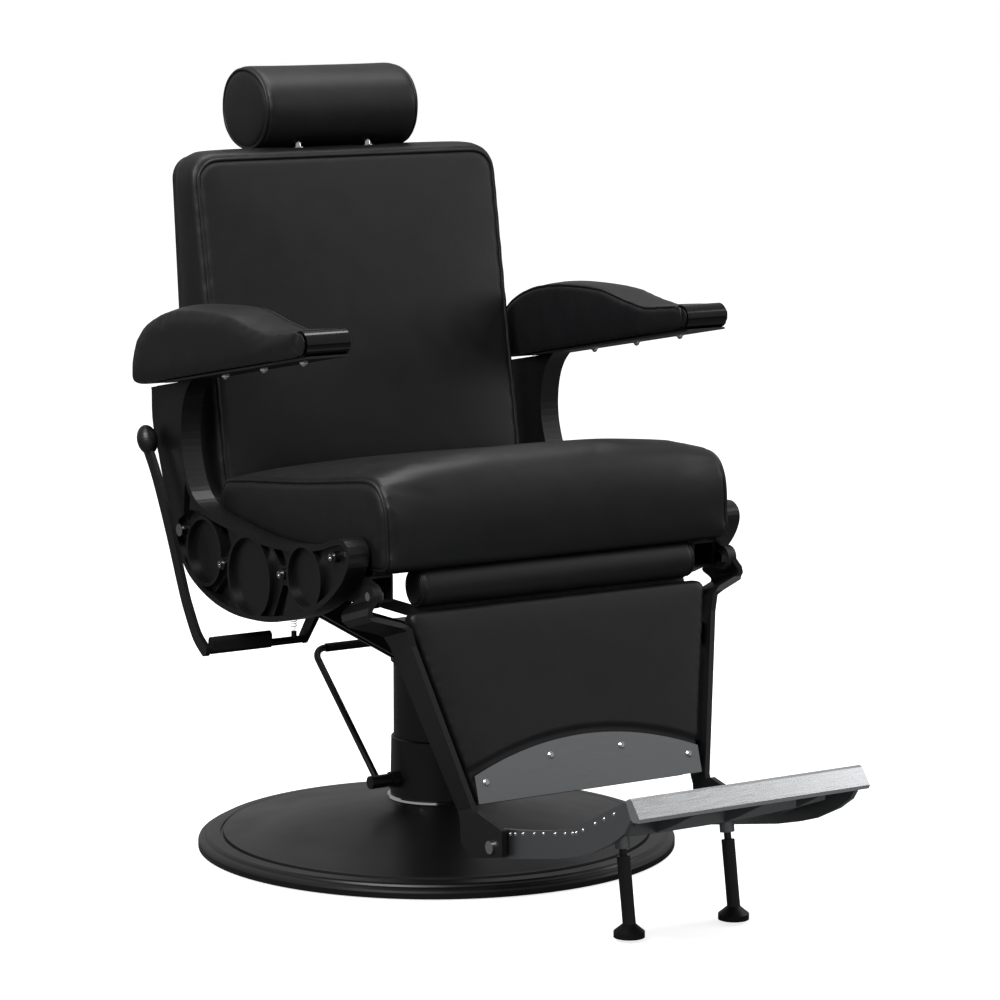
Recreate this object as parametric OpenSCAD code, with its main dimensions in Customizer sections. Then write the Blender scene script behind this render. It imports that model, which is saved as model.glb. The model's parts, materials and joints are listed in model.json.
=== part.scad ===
// Barber chair with a round base, a hydraulic column and a reclining back.
// The origin is on the floor at the column's axis. The chair faces -Y and the sitter's right is -X.

/* [Base] */
// Radius of the round base
base_r = 348; // [320:1:380]
// Thickness of the floor pad under the base
floor_pad_h = 3; // [2:0.5:6]
// Thickness of the ballast plate
base_plate_h = 8; // [5:0.5:14]
// Sheet thickness of the base cover
cover_wall = 3; // [2:0.5:4]
// Width of the stepped rim round the cover
rim_w = 42; // [30:1:60]
// Height of the rim where the cone starts
rim_h = 25; // [18:1:30]
// Height of the cover at the column
cover_h = 72; // [55:1:80]

/* [Column] */
// Radius of the lift column, the upper tube
lift_r = 62.5; // [55:0.5:70]
// Wall of the lift column
lift_wall = 5; // [3:0.5:8]
// Height of the lift column's top face
lift_top = 272; // [260:1:290]
// Travel of the lift
lift_travel = 130; // [80:5:135]
// Wall of the fixed jacket at its top
jacket_wall = 3.5; // [3:0.5:8]
// Extra radius of the jacket at its foot
jacket_flare = 1.5; // [0.5:0.5:10]
// Height of the fixed jacket's top
jacket_top = 162; // [160:1:175]
// Radius of the hydraulic ram
ram_r = 25; // [18:0.5:32]
// Wall of the hydraulic cylinder
cylinder_wall = 14; // [8:0.5:18]
// Running clearance of shafts and tubes, on the radius
run_gap = 0.08; // [0.05:0.01:0.1]

/* [Pump lever] */
// Height of the pump lever's pivot
pump_pivot_z = 103; // [96:1:115]
// Half spacing of the pump lever's legs
pump_half = 100; // [98:1:120]
// Radius of the pump lever's rod
pump_rod_r = 5; // [4:0.5:7]
// Distance from the pivot to the pedal
pump_reach = 246; // [200:1:255]
// Slope of the pump lever at rest
pump_slope = 42.5; // [40:0.5:50]
// Radius of the rubber pedal sleeve
pedal_r = 6.5; // [6:0.5:11]

/* [Seat] */
// Half width of the seat cushion
seat_half = 288; // [270:1:290]
// Front of the seat cushion
seat_front = 328; // [318:1:340]
// Distance from the seat cushion's rear to the back's pivot
seat_gap = 34; // [32:1:48]
// Height of the seat cushion's underside
seat_z = 467; // [466:0.5:470]
// Height of the seat cushion's side at the front
seat_h = 125; // [110:1:140]
// Crown of the seat cushion's top
seat_crown = 30; // [8:1:34]
// Thickness of the seat board
seat_board_t = 6; // [4:0.5:6]
// Width of a seat rail
rail_w = 38; // [30:1:44]
// Height of a seat rail
rail_h = 37; // [35:1:44]
// Wall of the seat rails
rail_wall = 3; // [2:0.5:4]

/* [Side frames] */
// Length of a side frame
frame_len = 560; // [540:2:580]
// Height of a side frame before it is cut to the arm's slope
frame_h = 344; // [335:1:350]
// Thickness of a side frame
frame_t = 32; // [26:1:36]
// Width of the rim round the cast panel
frame_rim = 8; // [5:0.5:12]
// Depth of the cast panel under the rim
panel_deep = 8; // [4:0.5:11]
// Depth of the round pockets under the panel
groove_deep = 9; // [4:0.5:12]
// Width of a raised ring
ring_w = 5; // [4:0.5:8]

/* [Arms] */
// Length of an armrest
arm_len = 499; // [480:1:510]
// Width of an armrest
arm_w = 76; // [68:1:84]
// Height of the arm pad at its highest
arm_pad_h = 99; // [90:1:105]
// Slope of the armrest down to the rear
arm_slope = 10.3; // [8:0.1:12]
// Radius of the tube across the front of an armrest
arm_tube_r = 18; // [14:0.5:19]
// Thickness of the steel arm plate
arm_plate_t = 3; // [2:0.5:6]

/* [Back] */
// Half width of the back cushion
back_half = 264; // [235:1:266]
// Height of the back cushion's top edge
back_top = 1002; // [960:1:1003]
// Height of the back cushion's lower edge
back_low = 500; // [498:1:510]
// Thickness of the back at its top
back_t_top = 69; // [60:1:80]
// Thickness of the back at its foot
back_t_low = 117; // [100:1:122]
// Lean of the back's front face
back_lean = 9.9; // [8:0.1:12]
// Radius of the back's upper corners
back_corner = 40; // [30:1:60]
// Crown of the back's front face
back_crown = 10; // [4:1:14]
// Thickness of the back board
back_board_t = 10; // [6:0.5:14]

/* [Headrest] */
// Length of the headrest
head_len = 267; // [220:1:300]
// Depth of the headrest
head_deep = 125; // [114:1:150]
// Height of the headrest
head_high = 116; // [95:1:117]
// Radius of a headrest post
post_r = 6; // [5:0.5:8]
// Half spacing of the headrest posts
post_half = 60; // [40:1:80]

/* [Leg rest] */
// Lean of the leg rest
calf_tilt = 16.4; // [14:0.2:18]
// Half width of the calf pad at its top
calf_top_half = 247; // [240:1:250]
// Half width of the calf pad at its foot
calf_low_half = 186; // [176:1:188]
// Thickness of the calf pad
calf_t = 24; // [20:1:25]
// Radius of the roll above the calf pad
roll_r = 23.5; // [20:0.5:23.5]
// Thickness of the flat leg straps
strap_t = 8; // [6:0.5:8]
// Depth of the flat leg straps
strap_deep = 36; // [32:1:40]
// Thickness of the guard plate
guard_t = 2; // [1:0.5:3]
// Rise of the guard plate's arch
guard_rise = 37; // [20:1:45]

/* [Footrest] */
// Half width of the footrest over its cheeks
foot_half = 186.5; // [180:0.5:190]
// Length of the footrest from its pivot to its nose
foot_len = 322; // [310:1:340]
// Thickness of a footrest cheek
cheek_t = 7; // [5:0.5:9]
// Thickness of the footrest deck
deck_t = 4; // [3:0.5:6]
// Count of studs along a cheek
stud_count = 14; // [8:1:16]
// Half spacing of the support legs
leg_half = 86; // [70:1:110]
// Radius of a support leg
leg_r = 9; // [6:0.5:10]
// Radius of a support foot
foot_r = 21; // [16:0.5:26]

/* [Recline] */
// Largest recline of the back
recline_max = 40; // [25:1:42]
// Largest rise of the leg rest
leg_max = 56; // [40:1:56]
// Length of the back's link arm
link_back = 85; // [80:1:88]
// Half spacing of the link rods
link_half = 150; // [135:1:158]

/* [Hidden] */

$fn = 64;
// Overrun of a cut past the face it opens
over = 1;
// Gap that keeps soft pieces off their neighbours
soft_gap = 0.4;

// Places worked out from the sizes above
base_plate_top = floor_pad_h + base_plate_h;
lip_z = 2;
jacket_foot_r = lift_r + run_gap + jacket_wall + jacket_flare;
rail_out = seat_half + soft_gap;
rail_in = rail_out - rail_w;
rail_z = seat_z - seat_board_t - rail_h;
side_plate_t = 5.6;
frame_in = rail_out + side_plate_t;
frame_out = frame_in + frame_t;
frame_front = 296;
frame_z = 368;
arm_rise = 46;
arm_back = 3;
arm_side = 5;
arm_y = frame_len - frame_front - arm_back - arm_len * cos(arm_slope);
arm_z = frame_z + frame_h + arm_rise;
arm_x = frame_in + frame_t / 2 + arm_side;
recline_share = 0.82857;
recline_y = recline_share * frame_len - frame_front;
recline_z = 469;
seat_rear = recline_y - seat_gap;
leg_y = -304;
leg_z = 438;
foot_y = -450;
foot_z = 109;

// Mixes two values by a share
function mix(a, b, t) = a + (b - a) * t;
// Point on a smooth curve between b and c
function curve_point(a, b, c, d, t) =
    (2 * b + (c - a) * t + (2 * a - 5 * b + 4 * c - d) * t * t + (3 * b - a - 3 * c + d) * t * t * t) / 2;
// Closed smooth curve through a list of points
function closed_curve(p, steps) = [for (i = [0:len(p) - 1]) for (k = [0:steps - 1])
    curve_point(p[(i + len(p) - 1) % len(p)], p[i], p[(i + 1) % len(p)], p[(i + 2) % len(p)], k / steps)];
// Open smooth curve through a list of points
function open_curve(p, steps) = concat([for (i = [0:len(p) - 2]) for (k = [0:steps - 1])
    curve_point(p[max(i - 1, 0)], p[i], p[i + 1], p[min(i + 2, len(p) - 1)], k / steps)], [p[len(p) - 1]]);
// Points of an arc
function arc(c, r, a0, a1, n) = [for (i = [0:n]) c + r * [cos(mix(a0, a1, i / n)), sin(mix(a0, a1, i / n))]];
// Unit vector square to the way from p to q, on its left
function left_of(p, q) = [p.y - q.y, q.x - p.x] / norm(q - p);
// Closed outline moved inward by d; the outline runs anticlockwise
function inset(p, d) = [for (i = [0:len(p) - 1])
    p[i] + d * left_of(p[(i + len(p) - 1) % len(p)], p[(i + 1) % len(p)])];
// Centre of a ring of points
function ring_centre(r, i = 0) = i == len(r) ? [0, 0, 0] : r[i] / len(r) + ring_centre(r, i + 1);

// Closed skin over rings of points that run anticlockwise seen from the last ring
module skin(rings) {
    n = len(rings);
    m = len(rings[0]);
    points = concat([for (r = rings) each r], [ring_centre(rings[0]), ring_centre(rings[n - 1])]);
    sides = [for (i = [0:n - 2]) for (j = [0:m - 1]) let (k = (j + 1) % m) each [
        [i * m + j, (i + 1) * m + k, i * m + k], [i * m + j, (i + 1) * m + j, (i + 1) * m + k]]];
    caps = [for (j = [0:m - 1]) let (k = (j + 1) % m) each [
        [n * m, j, k], [n * m + 1, (n - 1) * m + k, (n - 1) * m + j]]];
    polyhedron(points = points, faces = concat(sides, caps));
}

// Plate whose outline lies in Y and Z, from x0 to x1
module side_plate(x0, x1) {
    translate([x0, 0, 0]) rotate([90, 0, 90]) linear_extrude(x1 - x0) children();
}

// Plate whose outline lies in X and Z, from y0 to y1
module cross_plate(y0, y1) {
    translate([0, y1, 0]) rotate([90, 0, 0]) linear_extrude(y1 - y0) children();
}

// Round bar along X
module bar_x(x0, x1, r) {
    translate([x0, 0, 0]) rotate([0, 90, 0]) cylinder(r = r, h = x1 - x0);
}

// Round bar between two points
module rod(a, b, r) {
    d = b - a;
    translate(a) rotate([0, acos(d.z / norm(d)), atan2(d.y, d.x)]) cylinder(r = r, h = norm(d));
}

// Both sides, mirrored across the chair's middle
module both() {
    children();
    mirror([1, 0, 0]) children();
}

// Only the sitter's right side
module right_side() {
    mirror([1, 0, 0]) children();
}

// Frame of an armrest: Y runs rearward along the pad's underside and Z is square to it
module arm_frame() {
    translate([0, arm_y, arm_z]) rotate([-arm_slope, 0, 0]) children();
}

// Frame of the leg rest: its pivot is the origin and -Z runs down the calf pad
module leg_frame() {
    translate([0, leg_y, leg_z]) rotate([-calf_tilt, 0, 0]) children();
}

// Pad under the ballast plate
module floor_pad() {
    color("dimgray") cylinder(r = base_r - 2 * rim_w / 3, h = floor_pad_h, $fn = 96);
}

// Ballast plate with the bores of the column bolts
column_bolt_r = 5;
flange_w = 22;
column_bolt_pcd_r = jacket_foot_r + flange_w / 2;
column_bolts_n = 6;
bolt_end = 1;
module column_bolt_places() {
    for (i = [0:column_bolts_n - 1]) rotate([0, 0, i * 360 / column_bolts_n + 30])
        translate([column_bolt_pcd_r, 0, 0]) children();
}
module base_plate() {
    color("dimgray") difference() {
        translate([0, 0, floor_pad_h]) cylinder(r = base_r - rim_w / 2, h = base_plate_h, $fn = 96);
        column_bolt_places() translate([0, 0, floor_pad_h + bolt_end]) cylinder(r = column_bolt_r, h = base_plate_h);
    }
}

// Spun cover: a stepped rim and a shallow cone
rim_shares = [[0, 0.09], [0, 0.42], [0.03, 0.54], [0.1, 0.62], [0.24, 0.68], [0.28, 0.78], [0.36, 0.85],
    [0.7, 0.9], [0.78, 0.88], [0.8, 0.8], [0.86, 0.8], [0.88, 0.97], [1, 1]];
cone_shares = [[0.25, 0.24], [0.5, 0.5], [0.84, 0.86], [1, 1]];
cover_bore_r = jacket_foot_r + soft_gap;
cover_line = concat(
    [for (s = rim_shares) [base_r - s[0] * rim_w, s[1] * rim_h]],
    [for (s = cone_shares) [mix(base_r - rim_w, cover_bore_r, s[0]), mix(rim_h, cover_h, s[1])]]);
module base_cover() {
    n = len(cover_line);
    inner = [for (i = [n - 1:-1:0])
        [max(min(cover_line[i].x, base_r - cover_wall), cover_bore_r), max(cover_line[i].y - cover_wall, lip_z)]];
    color("#18181a") rotate_extrude($fn = 120)
        polygon(concat([for (p = cover_line) [p.x, max(p.y, lip_z)]], [for (i = [0:n - 2]) inner[i]]));
}

// Fixed jacket of the column with the bosses of the pump lever
flange_r = jacket_foot_r + flange_w;
flange_h = 8;
boss_r = 12;
hub_len = 20;
hub_gap = 0.5;
boss_end = pump_half - hub_len - hub_gap;
pump_pin_r = 6;
pump_pin_deep = 16;
jacket_foot_h = 6;
jacket_foot_z = cover_h + jacket_foot_h;
module column_jacket() {
    bore = lift_r + run_gap;
    top_r = bore + jacket_wall;
    bevel = jacket_wall / 2;
    color("#161618") difference() {
        union() {
            rotate_extrude($fn = 96) polygon([[bore, base_plate_top], [flange_r, base_plate_top],
                [flange_r, base_plate_top + flange_h], [jacket_foot_r, base_plate_top + flange_h],
                [jacket_foot_r, jacket_foot_z], [top_r, jacket_top - bevel],
                [top_r - bevel, jacket_top], [bore, jacket_top]]);
            both() translate([0, 0, pump_pivot_z]) bar_x(lift_r + jacket_wall / 2, boss_end, boss_r);
        }
        cylinder(r = bore, h = jacket_top + over);
        both() translate([0, 0, pump_pivot_z])
            bar_x(boss_end - pump_pin_deep, boss_end + over, pump_pin_r + run_gap);
        column_bolt_places() cylinder(r = column_bolt_r, h = base_plate_top + flange_h + over);
    }
}

// Bright trim ring at the jacket's foot
module jacket_ring() {
    ring_h = 4;
    ring_out = 5;
    shares = [[0, 0], [1, 0], [0.8, 0.75], [0.4, 1], [0, 1]];
    color("silver") rotate_extrude($fn = 96) polygon([for (s = shares)
        [jacket_foot_r + s[0] * ring_out, cover_h + s[1] * ring_h]]);
}

// Hexagon bolts that hold the column to the ballast plate
module column_bolts() {
    head_r = 8;
    head_h = 6;
    color("silver") column_bolt_places() {
        translate([0, 0, floor_pad_h + bolt_end])
            cylinder(r = column_bolt_r, h = base_plate_h - bolt_end + flange_h);
        translate([0, 0, base_plate_top + flange_h]) cylinder(r = head_r, h = head_h, $fn = 6);
    }
}

// Hydraulic cylinder inside the column
cylinder_drop = 12;
cylinder_floor = 3;
ram_gap = 2;
cylinder_top = jacket_top - cylinder_drop;
module pump_cylinder() {
    color("gray") difference() {
        translate([0, 0, base_plate_top]) cylinder(r = ram_r + cylinder_wall, h = cylinder_top - base_plate_top);
        translate([0, 0, base_plate_top + cylinder_floor]) cylinder(r = ram_r + run_gap, h = cylinder_top);
    }
}

// Pump lever: a bail of round rod on two hubs
hub_r = 9.5;
hub_out = 14;
bail_bend = 20;
module pump_lever() {
    color("#131314") translate([0, 0, pump_pivot_z]) {
        both() {
            bar_x(boss_end + hub_gap, pump_half + hub_out, hub_r);
            bar_x(boss_end - pump_pin_deep + hub_gap, boss_end + 2 * hub_gap, pump_pin_r);
        }
        rotate([pump_slope, 0, 0]) {
            both() {
                rod([pump_half, 0, 0], [pump_half, pump_reach - bail_bend, 0], pump_rod_r);
                translate([pump_half - bail_bend, pump_reach - bail_bend, 0])
                    rotate_extrude(angle = 90) translate([bail_bend, 0]) circle(pump_rod_r);
            }
            translate([0, pump_reach, 0]) bar_x(bail_bend - pump_half, pump_half - bail_bend, pump_rod_r);
        }
    }
}

// Rubber sleeve on the pump lever's crossbar
module pump_pedal_sleeve() {
    end_gap = 2;
    half = pump_half - bail_bend - end_gap;
    color("#101010") translate([0, 0, pump_pivot_z]) rotate([pump_slope, 0, 0])
        translate([0, pump_reach, 0]) difference() {
            bar_x(-half, half, pedal_r);
            bar_x(-half - over, half + over, pump_rod_r);
        }
}

// Lift column: a tube with a closed head
lift_guide = 14;
lift_low = jacket_top - lift_travel - lift_guide;
lift_head = 10;
module lift_column() {
    color("#141416") rotate_extrude($fn = 96) polygon([[lift_r - lift_wall, lift_low], [lift_r, lift_low],
        [lift_r, lift_top], [0, lift_top], [0, lift_top - lift_head], [lift_r - lift_wall, lift_top - lift_head]]);
}

// Hydraulic ram that carries the lift column
module lift_ram() {
    ram_low = base_plate_top + cylinder_floor + ram_gap;
    color("silver") translate([0, 0, ram_low]) cylinder(r = ram_r, h = lift_top - lift_head - ram_low);
}

// Cast cradle between the lift column and the seat rails
cradle_lip = 4;
cradle_disc_r = lift_r + cradle_lip;
cradle_disc_h = 12;
cradle_front = 46;
cradle_rear = 2;
cradle_wall = 12;
cradle_mid_h = 68;
cradle_rise = 0.587;
cradle_shelf = 14;
cradle_bolt_x = 34;
cradle_bolt_r = 5;
module cradle_bolt_places() {
    for (x = [-1, 1]) for (y = [-1, 1]) translate([x * cradle_bolt_x, y * cradle_bolt_x / 2, 0]) children();
}
module seat_cradle() {
    low_x = lift_r - cradle_lip;
    tip_x = rail_in + cradle_shelf;
    tip_z = lift_top + (tip_x - low_x) * cradle_rise;
    web_x = 72;
    brace_in = 34;
    brace_drop = 24;
    link_drop = 57;
    color("#1a1a1c") difference() {
        union() {
            translate([0, 0, lift_top]) cylinder(r = cradle_disc_r, h = cradle_disc_h);
            for (y = [-cradle_front, cradle_rear - cradle_wall]) both() cross_plate(y, y + cradle_wall)
                polygon([[0, lift_top], [low_x, lift_top], [tip_x, tip_z], [tip_x, rail_z], [rail_in, rail_z],
                    [rail_in - brace_in, rail_z - brace_drop], [link_half, rail_z - link_drop], [web_x, lift_top + cradle_mid_h],
                    [0, lift_top + cradle_mid_h]]);
            both() translate([web_x - cradle_wall, -cradle_front, lift_top])
                cube([cradle_wall, cradle_front + cradle_rear, cradle_mid_h]);
        }
        cradle_bolt_places() translate([0, 0, lift_top - over])
            cylinder(r = cradle_bolt_r, h = cradle_disc_h + 2 * over);
    }
}

// Bolts between the cradle and the lift column
module cradle_bolts() {
    head_r = 8;
    head_h = 6;
    color("silver") cradle_bolt_places() {
        translate([0, 0, lift_top]) cylinder(r = cradle_bolt_r, h = cradle_disc_h);
        translate([0, 0, lift_top + cradle_disc_h]) cylinder(r = head_r, h = head_h, $fn = 6);
    }
}

// Welded seat frame: two rails and three crossmembers of square tube
rail_front = -286;
rail_back = 16;
rail_rear = seat_rear - rail_back;
cross_w = 30;
cross_up = 5;
cross_z = rail_z + cross_up;
mid_y = 5;
module box_tube(size, wall) {
    difference() {
        cube(size);
        translate([size.x > size.y ? -over : wall, size.x > size.y ? wall : -over, wall])
            cube([size.x > size.y ? size.x + 2 * over : size.x - 2 * wall,
                size.x > size.y ? size.y - 2 * wall : size.y + 2 * over, size.z - 2 * wall]);
    }
}
module seat_frame() {
    color("#202022") {
        both() translate([rail_in, rail_front, rail_z])
            box_tube([rail_w, rail_rear - rail_front, rail_h], rail_wall);
        for (y = [mid_y, rail_rear - cross_w]) translate([-rail_in, y, cross_z])
            box_tube([2 * rail_in, cross_w, cross_w], rail_wall);
    }
}

// Board under the seat cushion
module seat_board() {
    front_in = 45;
    rear_in = 16;
    side_in = 8;
    color("#2a2622") translate([side_in - rail_out, front_in - seat_front, seat_z - seat_board_t])
        cube([2 * (rail_out - side_in), seat_front + seat_rear - front_in - rear_in, seat_board_t]);
}

// Seat cushion: a crowned, piped block with a rounded front
seat_shares = [[0.012, 0], [0.25, 0], [0.5, 0], [0.91, 0], [0.982, 0.15], [1, 0.37], [0.98, 0.57], [0.93, 0.65],
    [0.5, 0.81], [0.2, 0.95], [0.09, 0.985], [0.03, 0.86], [0.003, 0.61], [0, 0.26]];
end_shares = [[-1, 0.93], [-0.992, 0.975], [-0.975, 1], [-0.93, 0.985], [-0.75, 0.985], [-0.4, 0.985], [0, 0.985],
    [0.4, 0.985], [0.75, 0.985], [0.93, 0.985], [0.975, 1], [0.992, 0.975], [1, 0.93]];
module seat_cushion() {
    len_y = seat_front + seat_rear;
    side = closed_curve([for (s = seat_shares) [s[0] * len_y - seat_front, s[1] * seat_h]], 3);
    mid = [(seat_rear - seat_front) / 2, seat_h * 0.4];
    rings = [for (e = end_shares) [for (p = side)
        let (q = mid + (p - mid) * e[1], lift = max(q.y / seat_h - 0.45, 0) * 1.8 * (1 - pow(e[0], 4)))
        [e[0] * seat_half, q.x, seat_z + soft_gap + max(q.y, 0) + seat_crown * lift]]];
    color("#1c1c1e") skin(rings);
}

// Steel side plates that carry the recline and leg rest pivots
pivot_r = 6;
bolt_shares = [[0.077, 0.346], [0.323, 0.221], [0.62, 0.195]];
bolt_places = concat([for (s = bolt_shares) [s[0] * frame_len - frame_front, s[1] * frame_h + frame_z]],
    [[recline_y, recline_z]]);
screw_r = 3;
module bolt_holes(r, x0, x1) {
    for (i = [0:2]) translate([0, bolt_places[i].x, bolt_places[i].y]) bar_x(x0, x1, r);
}
module seat_side_plates() {
    ear_r = 17;
    lug_r = 9;
    toe = 20;
    heel = 2.1 * ear_r;
    plate_low = rail_z - 2;
    plate_high = seat_z - seat_board_t;
    b = bolt_places[0];
    color("#242426") both() difference() {
        union() {
            side_plate(rail_out, frame_in) polygon([[leg_y, leg_z - ear_r], [rail_front + toe, plate_low],
                [recline_y - heel, plate_low], [recline_y, recline_z - ear_r], [recline_y, recline_z + ear_r],
                [recline_y - heel, plate_high], [rail_front, plate_high], [leg_y, leg_z + ear_r]]);
            translate([0, leg_y, leg_z]) bar_x(rail_out, frame_in, ear_r);
            translate([0, recline_y, recline_z]) bar_x(rail_out, frame_in, ear_r);
            side_plate(rail_out, frame_in) polygon([[b.x - ear_r, plate_low + ear_r],
                [b.x + ear_r, plate_low + ear_r], b + [lug_r, 0], b - [lug_r, 0]]);
            bolt_holes(lug_r, rail_out, frame_in);
        }
        bolt_holes(screw_r, rail_out - over, frame_in + over);
        translate([0, leg_y, leg_z]) bar_x(rail_out - over, frame_in + over, pivot_r);
        translate([0, recline_y, recline_z]) bar_x(rail_out - over, frame_in + over, pivot_r);
    }
}

// Cast side frame with three linked rings, a rim and deep slots
frame_shares = [[0, 0.355], [0.008, 0.4], [0.037, 0.424], [0.078, 0.413], [0.143, 0.381], [0.225, 0.357],
    [0.318, 0.343], [0.42, 0.343], [0.516, 0.355], [0.603, 0.375], [0.671, 0.39], [0.725, 0.413], [0.764, 0.448],
    [0.791, 0.5], [0.81, 0.567], [0.823, 0.645], [0.825, 0.733], [0.816, 0.815], [0.795, 0.885], [0.755, 0.945],
    [0.69, 1.0], [0.85, 1.0], [1, 0.96], [1, 0.85], [0.998, 0.735], [0.98, 0.635], [0.95, 0.53], [0.92, 0.43],
    [0.89, 0.32], [0.85, 0.21], [0.8, 0.12], [0.73, 0.06], [0.65, 0.02], [0.56, 0], [0.47, 0], [0.377, 0.012],
    [0.28, 0.045], [0.19, 0.09], [0.11, 0.155], [0.05, 0.228], [0.015, 0.295]];
outline = closed_curve([for (i = [len(frame_shares) - 1:-1:0])
    [frame_shares[i][0] * frame_len - frame_front, frame_shares[i][1] * frame_h + frame_z]], 3);
ring_shares = [[0.714, 0.227, 0.147], [0.486, 0.174, 0.174], [0.216, 0.233, 0.134]];
rings_at = [for (s = ring_shares)
    [s[0] * frame_len - frame_front, s[1] * frame_h + frame_z, s[2] * frame_h]];
slot_shares = [[[0.806, 0.54], [0.778, 0.46], [0.788, 0.372], [0.818, 0.326], [0.812, 0.42]],
    [[0.655, 0.365], [0.618, 0.352], [0.589, 0.256], [0.606, 0.235], [0.625, 0.238]],
    [[0.621, 0.145], [0.66, 0.09], [0.691, 0.04], [0.63, 0.03], [0.6, 0.05], [0.612, 0.128]],
    [[0.4, 0.34], [0.355, 0.335], [0.318, 0.267], [0.33, 0.25], [0.35, 0.253]],
    [[0.338, 0.172], [0.308, 0.175], [0.345, 0.02], [0.39, 0.02], [0.365, 0.09]]];
field_shares = [[-0.01, -0.01], [0.9, -0.01], [0.843, 0.334], [0.786, 0.387], [-0.01, 0.468]];
rear_strip_shares = [[0.907, 0.41], [0.946, 0.584], [0.954, 1.05], [1.03, 1.05], [1.03, 0.294]];
boss_w = 8;
strip_deep = 6;
function frame_at(s) = [s[0] * frame_len - frame_front, s[1] * frame_h + frame_z];
module frame_field() {
    intersection() {
        polygon(inset(outline, frame_rim));
        polygon([for (s = field_shares) frame_at(s)]);
    }
}
module frame_ring(i, r_in) {
    c = rings_at[i];
    translate([c[0], c[1]]) difference() {
        circle(c[2]);
        circle(r_in);
    }
}
module side_frame() {
    panel_x = frame_out - panel_deep;
    pocket_x = panel_x - groove_deep;
    color("#1b1b1d") difference() {
        union() {
            difference() {
                side_plate(frame_in, frame_out) polygon(outline);
                side_plate(panel_x, frame_out + over) frame_field();
                side_plate(pocket_x, frame_out + over) intersection() {
                    polygon(inset(outline, frame_rim));
                    union() for (slot = slot_shares) polygon([for (s = slot) frame_at(s)]);
                }
                side_plate(frame_out - strip_deep, frame_out + over)
                    polygon([for (s = rear_strip_shares) frame_at(s)]);
            }
            side_plate(pocket_x, frame_out) intersection() {
                polygon(outline);
                union() for (i = [0:2]) frame_ring(i, rings_at[i][2] - 2 * ring_w);
            }
            for (b = bolt_places) translate([0, b.x, b.y]) bar_x(pocket_x, frame_out, boss_w);
        }
        side_plate(pocket_x, frame_out + over) for (i = [0:2])
            translate([rings_at[i][0], rings_at[i][1]]) circle(rings_at[i][2] - ring_w);
        arm_frame() translate([frame_in - over, -arm_len, -arm_plate_t])
            cube([frame_t + 2 * over, 3 * arm_len, arm_len]);
        bolt_holes(screw_r, frame_in - over, frame_out + over);
        translate([0, recline_y, recline_z]) bar_x(frame_in - over, frame_out + over, pivot_r);
    }
}
module side_frame_left() {
    side_frame();
}
module side_frame_right() {
    right_side() side_frame();
}
module side_frame_bolts() {
    head_r = 5;
    head_h = 4;
    color("silver") both() for (i = [0:2]) translate([0, bolt_places[i].x, bolt_places[i].y]) {
        bar_x(rail_out, frame_out, screw_r);
        difference() {
            bar_x(frame_out, frame_out + head_h, head_r);
            rotate([0, 90, 0]) translate([0, 0, frame_out + head_h / 2]) cylinder(r = head_r / 2, h = head_h, $fn = 6);
        }
    }
}

// Outline of an armrest pad, as shares of its length and height
arm_shares = [[0.2, 0.42], [0.31, 0.6], [0.42, 0.8], [0.575, 0.94], [0.75, 1], [0.89, 0.88], [0.975, 0.6],
    [1.01, 0.15], [0.975, 0.006], [0.86, 0.005]];
arm_base_shares = [[0.7, 0.005], [0.5, 0.005], [0.33, 0.005], [0.202, 0.005]];
arm_line = concat(
    open_curve([for (s = arm_shares) [s[0] * arm_len, s[1] * arm_pad_h]], 3),
    [for (s = arm_base_shares) [s[0] * arm_len, s[1] * arm_pad_h]]);
arm_ends_shares = [[-1, 0.955], [-0.985, 0.985], [-0.94, 1], [-0.85, 0.99], [-0.5, 0.99], [0, 0.99],
    [0.5, 0.99], [0.85, 0.99], [0.94, 1], [0.985, 0.985], [1, 0.955]];
module arm_pad() {
    mid = [0.62 * arm_len, 0.45 * arm_pad_h];
    crown = 5;
    rings = [for (e = arm_ends_shares) [for (k = [len(arm_line) - 1:-1:0])
        let (q = mid + (arm_line[k] - mid) * e[1], up = max(q.y / arm_pad_h - 0.3, 0))
        [arm_x + e[0] * arm_w / 2, q.x, q.y + crown * up * (1 - e[0] * e[0])]]];
    color("#1d1d1f") arm_frame() skin(rings);
}
module arm_pad_left() {
    arm_pad();
}
module arm_pad_right() {
    right_side() arm_pad();
}

// Moulded front end of an armrest with cheeks round its cross tube
arm_end_to = 0.2 * arm_len - soft_gap;
tube_u = 15;
cheek_w = 4;
module arm_end() {
    end_h = 0.42 * arm_pad_h;
    color("#19191b") arm_frame() difference() {
        union() {
            side_plate(arm_x - arm_w / 2, arm_x + arm_w / 2) polygon([[tube_u, 0], [arm_end_to, 0],
                [arm_end_to, end_h], [tube_u, 2 * arm_tube_r]]);
            translate([0, tube_u, arm_tube_r]) bar_x(arm_x - arm_w / 2, arm_x + arm_w / 2, arm_tube_r);
        }
        translate([0, tube_u, arm_tube_r])
            bar_x(arm_x - arm_w / 2 + cheek_w, arm_x + arm_w / 2 - cheek_w, arm_tube_r + run_gap);
        translate([arm_x - arm_w / 2 + cheek_w, tube_u - 2 * arm_tube_r, -over])
            cube([arm_w - 2 * cheek_w, 2 * arm_tube_r, 3 * arm_tube_r]);
    }
}
module arm_end_left() {
    arm_end();
}
module arm_end_right() {
    right_side() arm_end();
}

// Gloss tubes across the fronts of the armrests
module arm_tubes() {
    color("#0c0c0c") both() arm_frame() translate([0, tube_u, arm_tube_r])
        bar_x(arm_x - arm_w / 2 + cheek_w, arm_x + arm_w / 2 - cheek_w, arm_tube_r);
}

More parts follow.
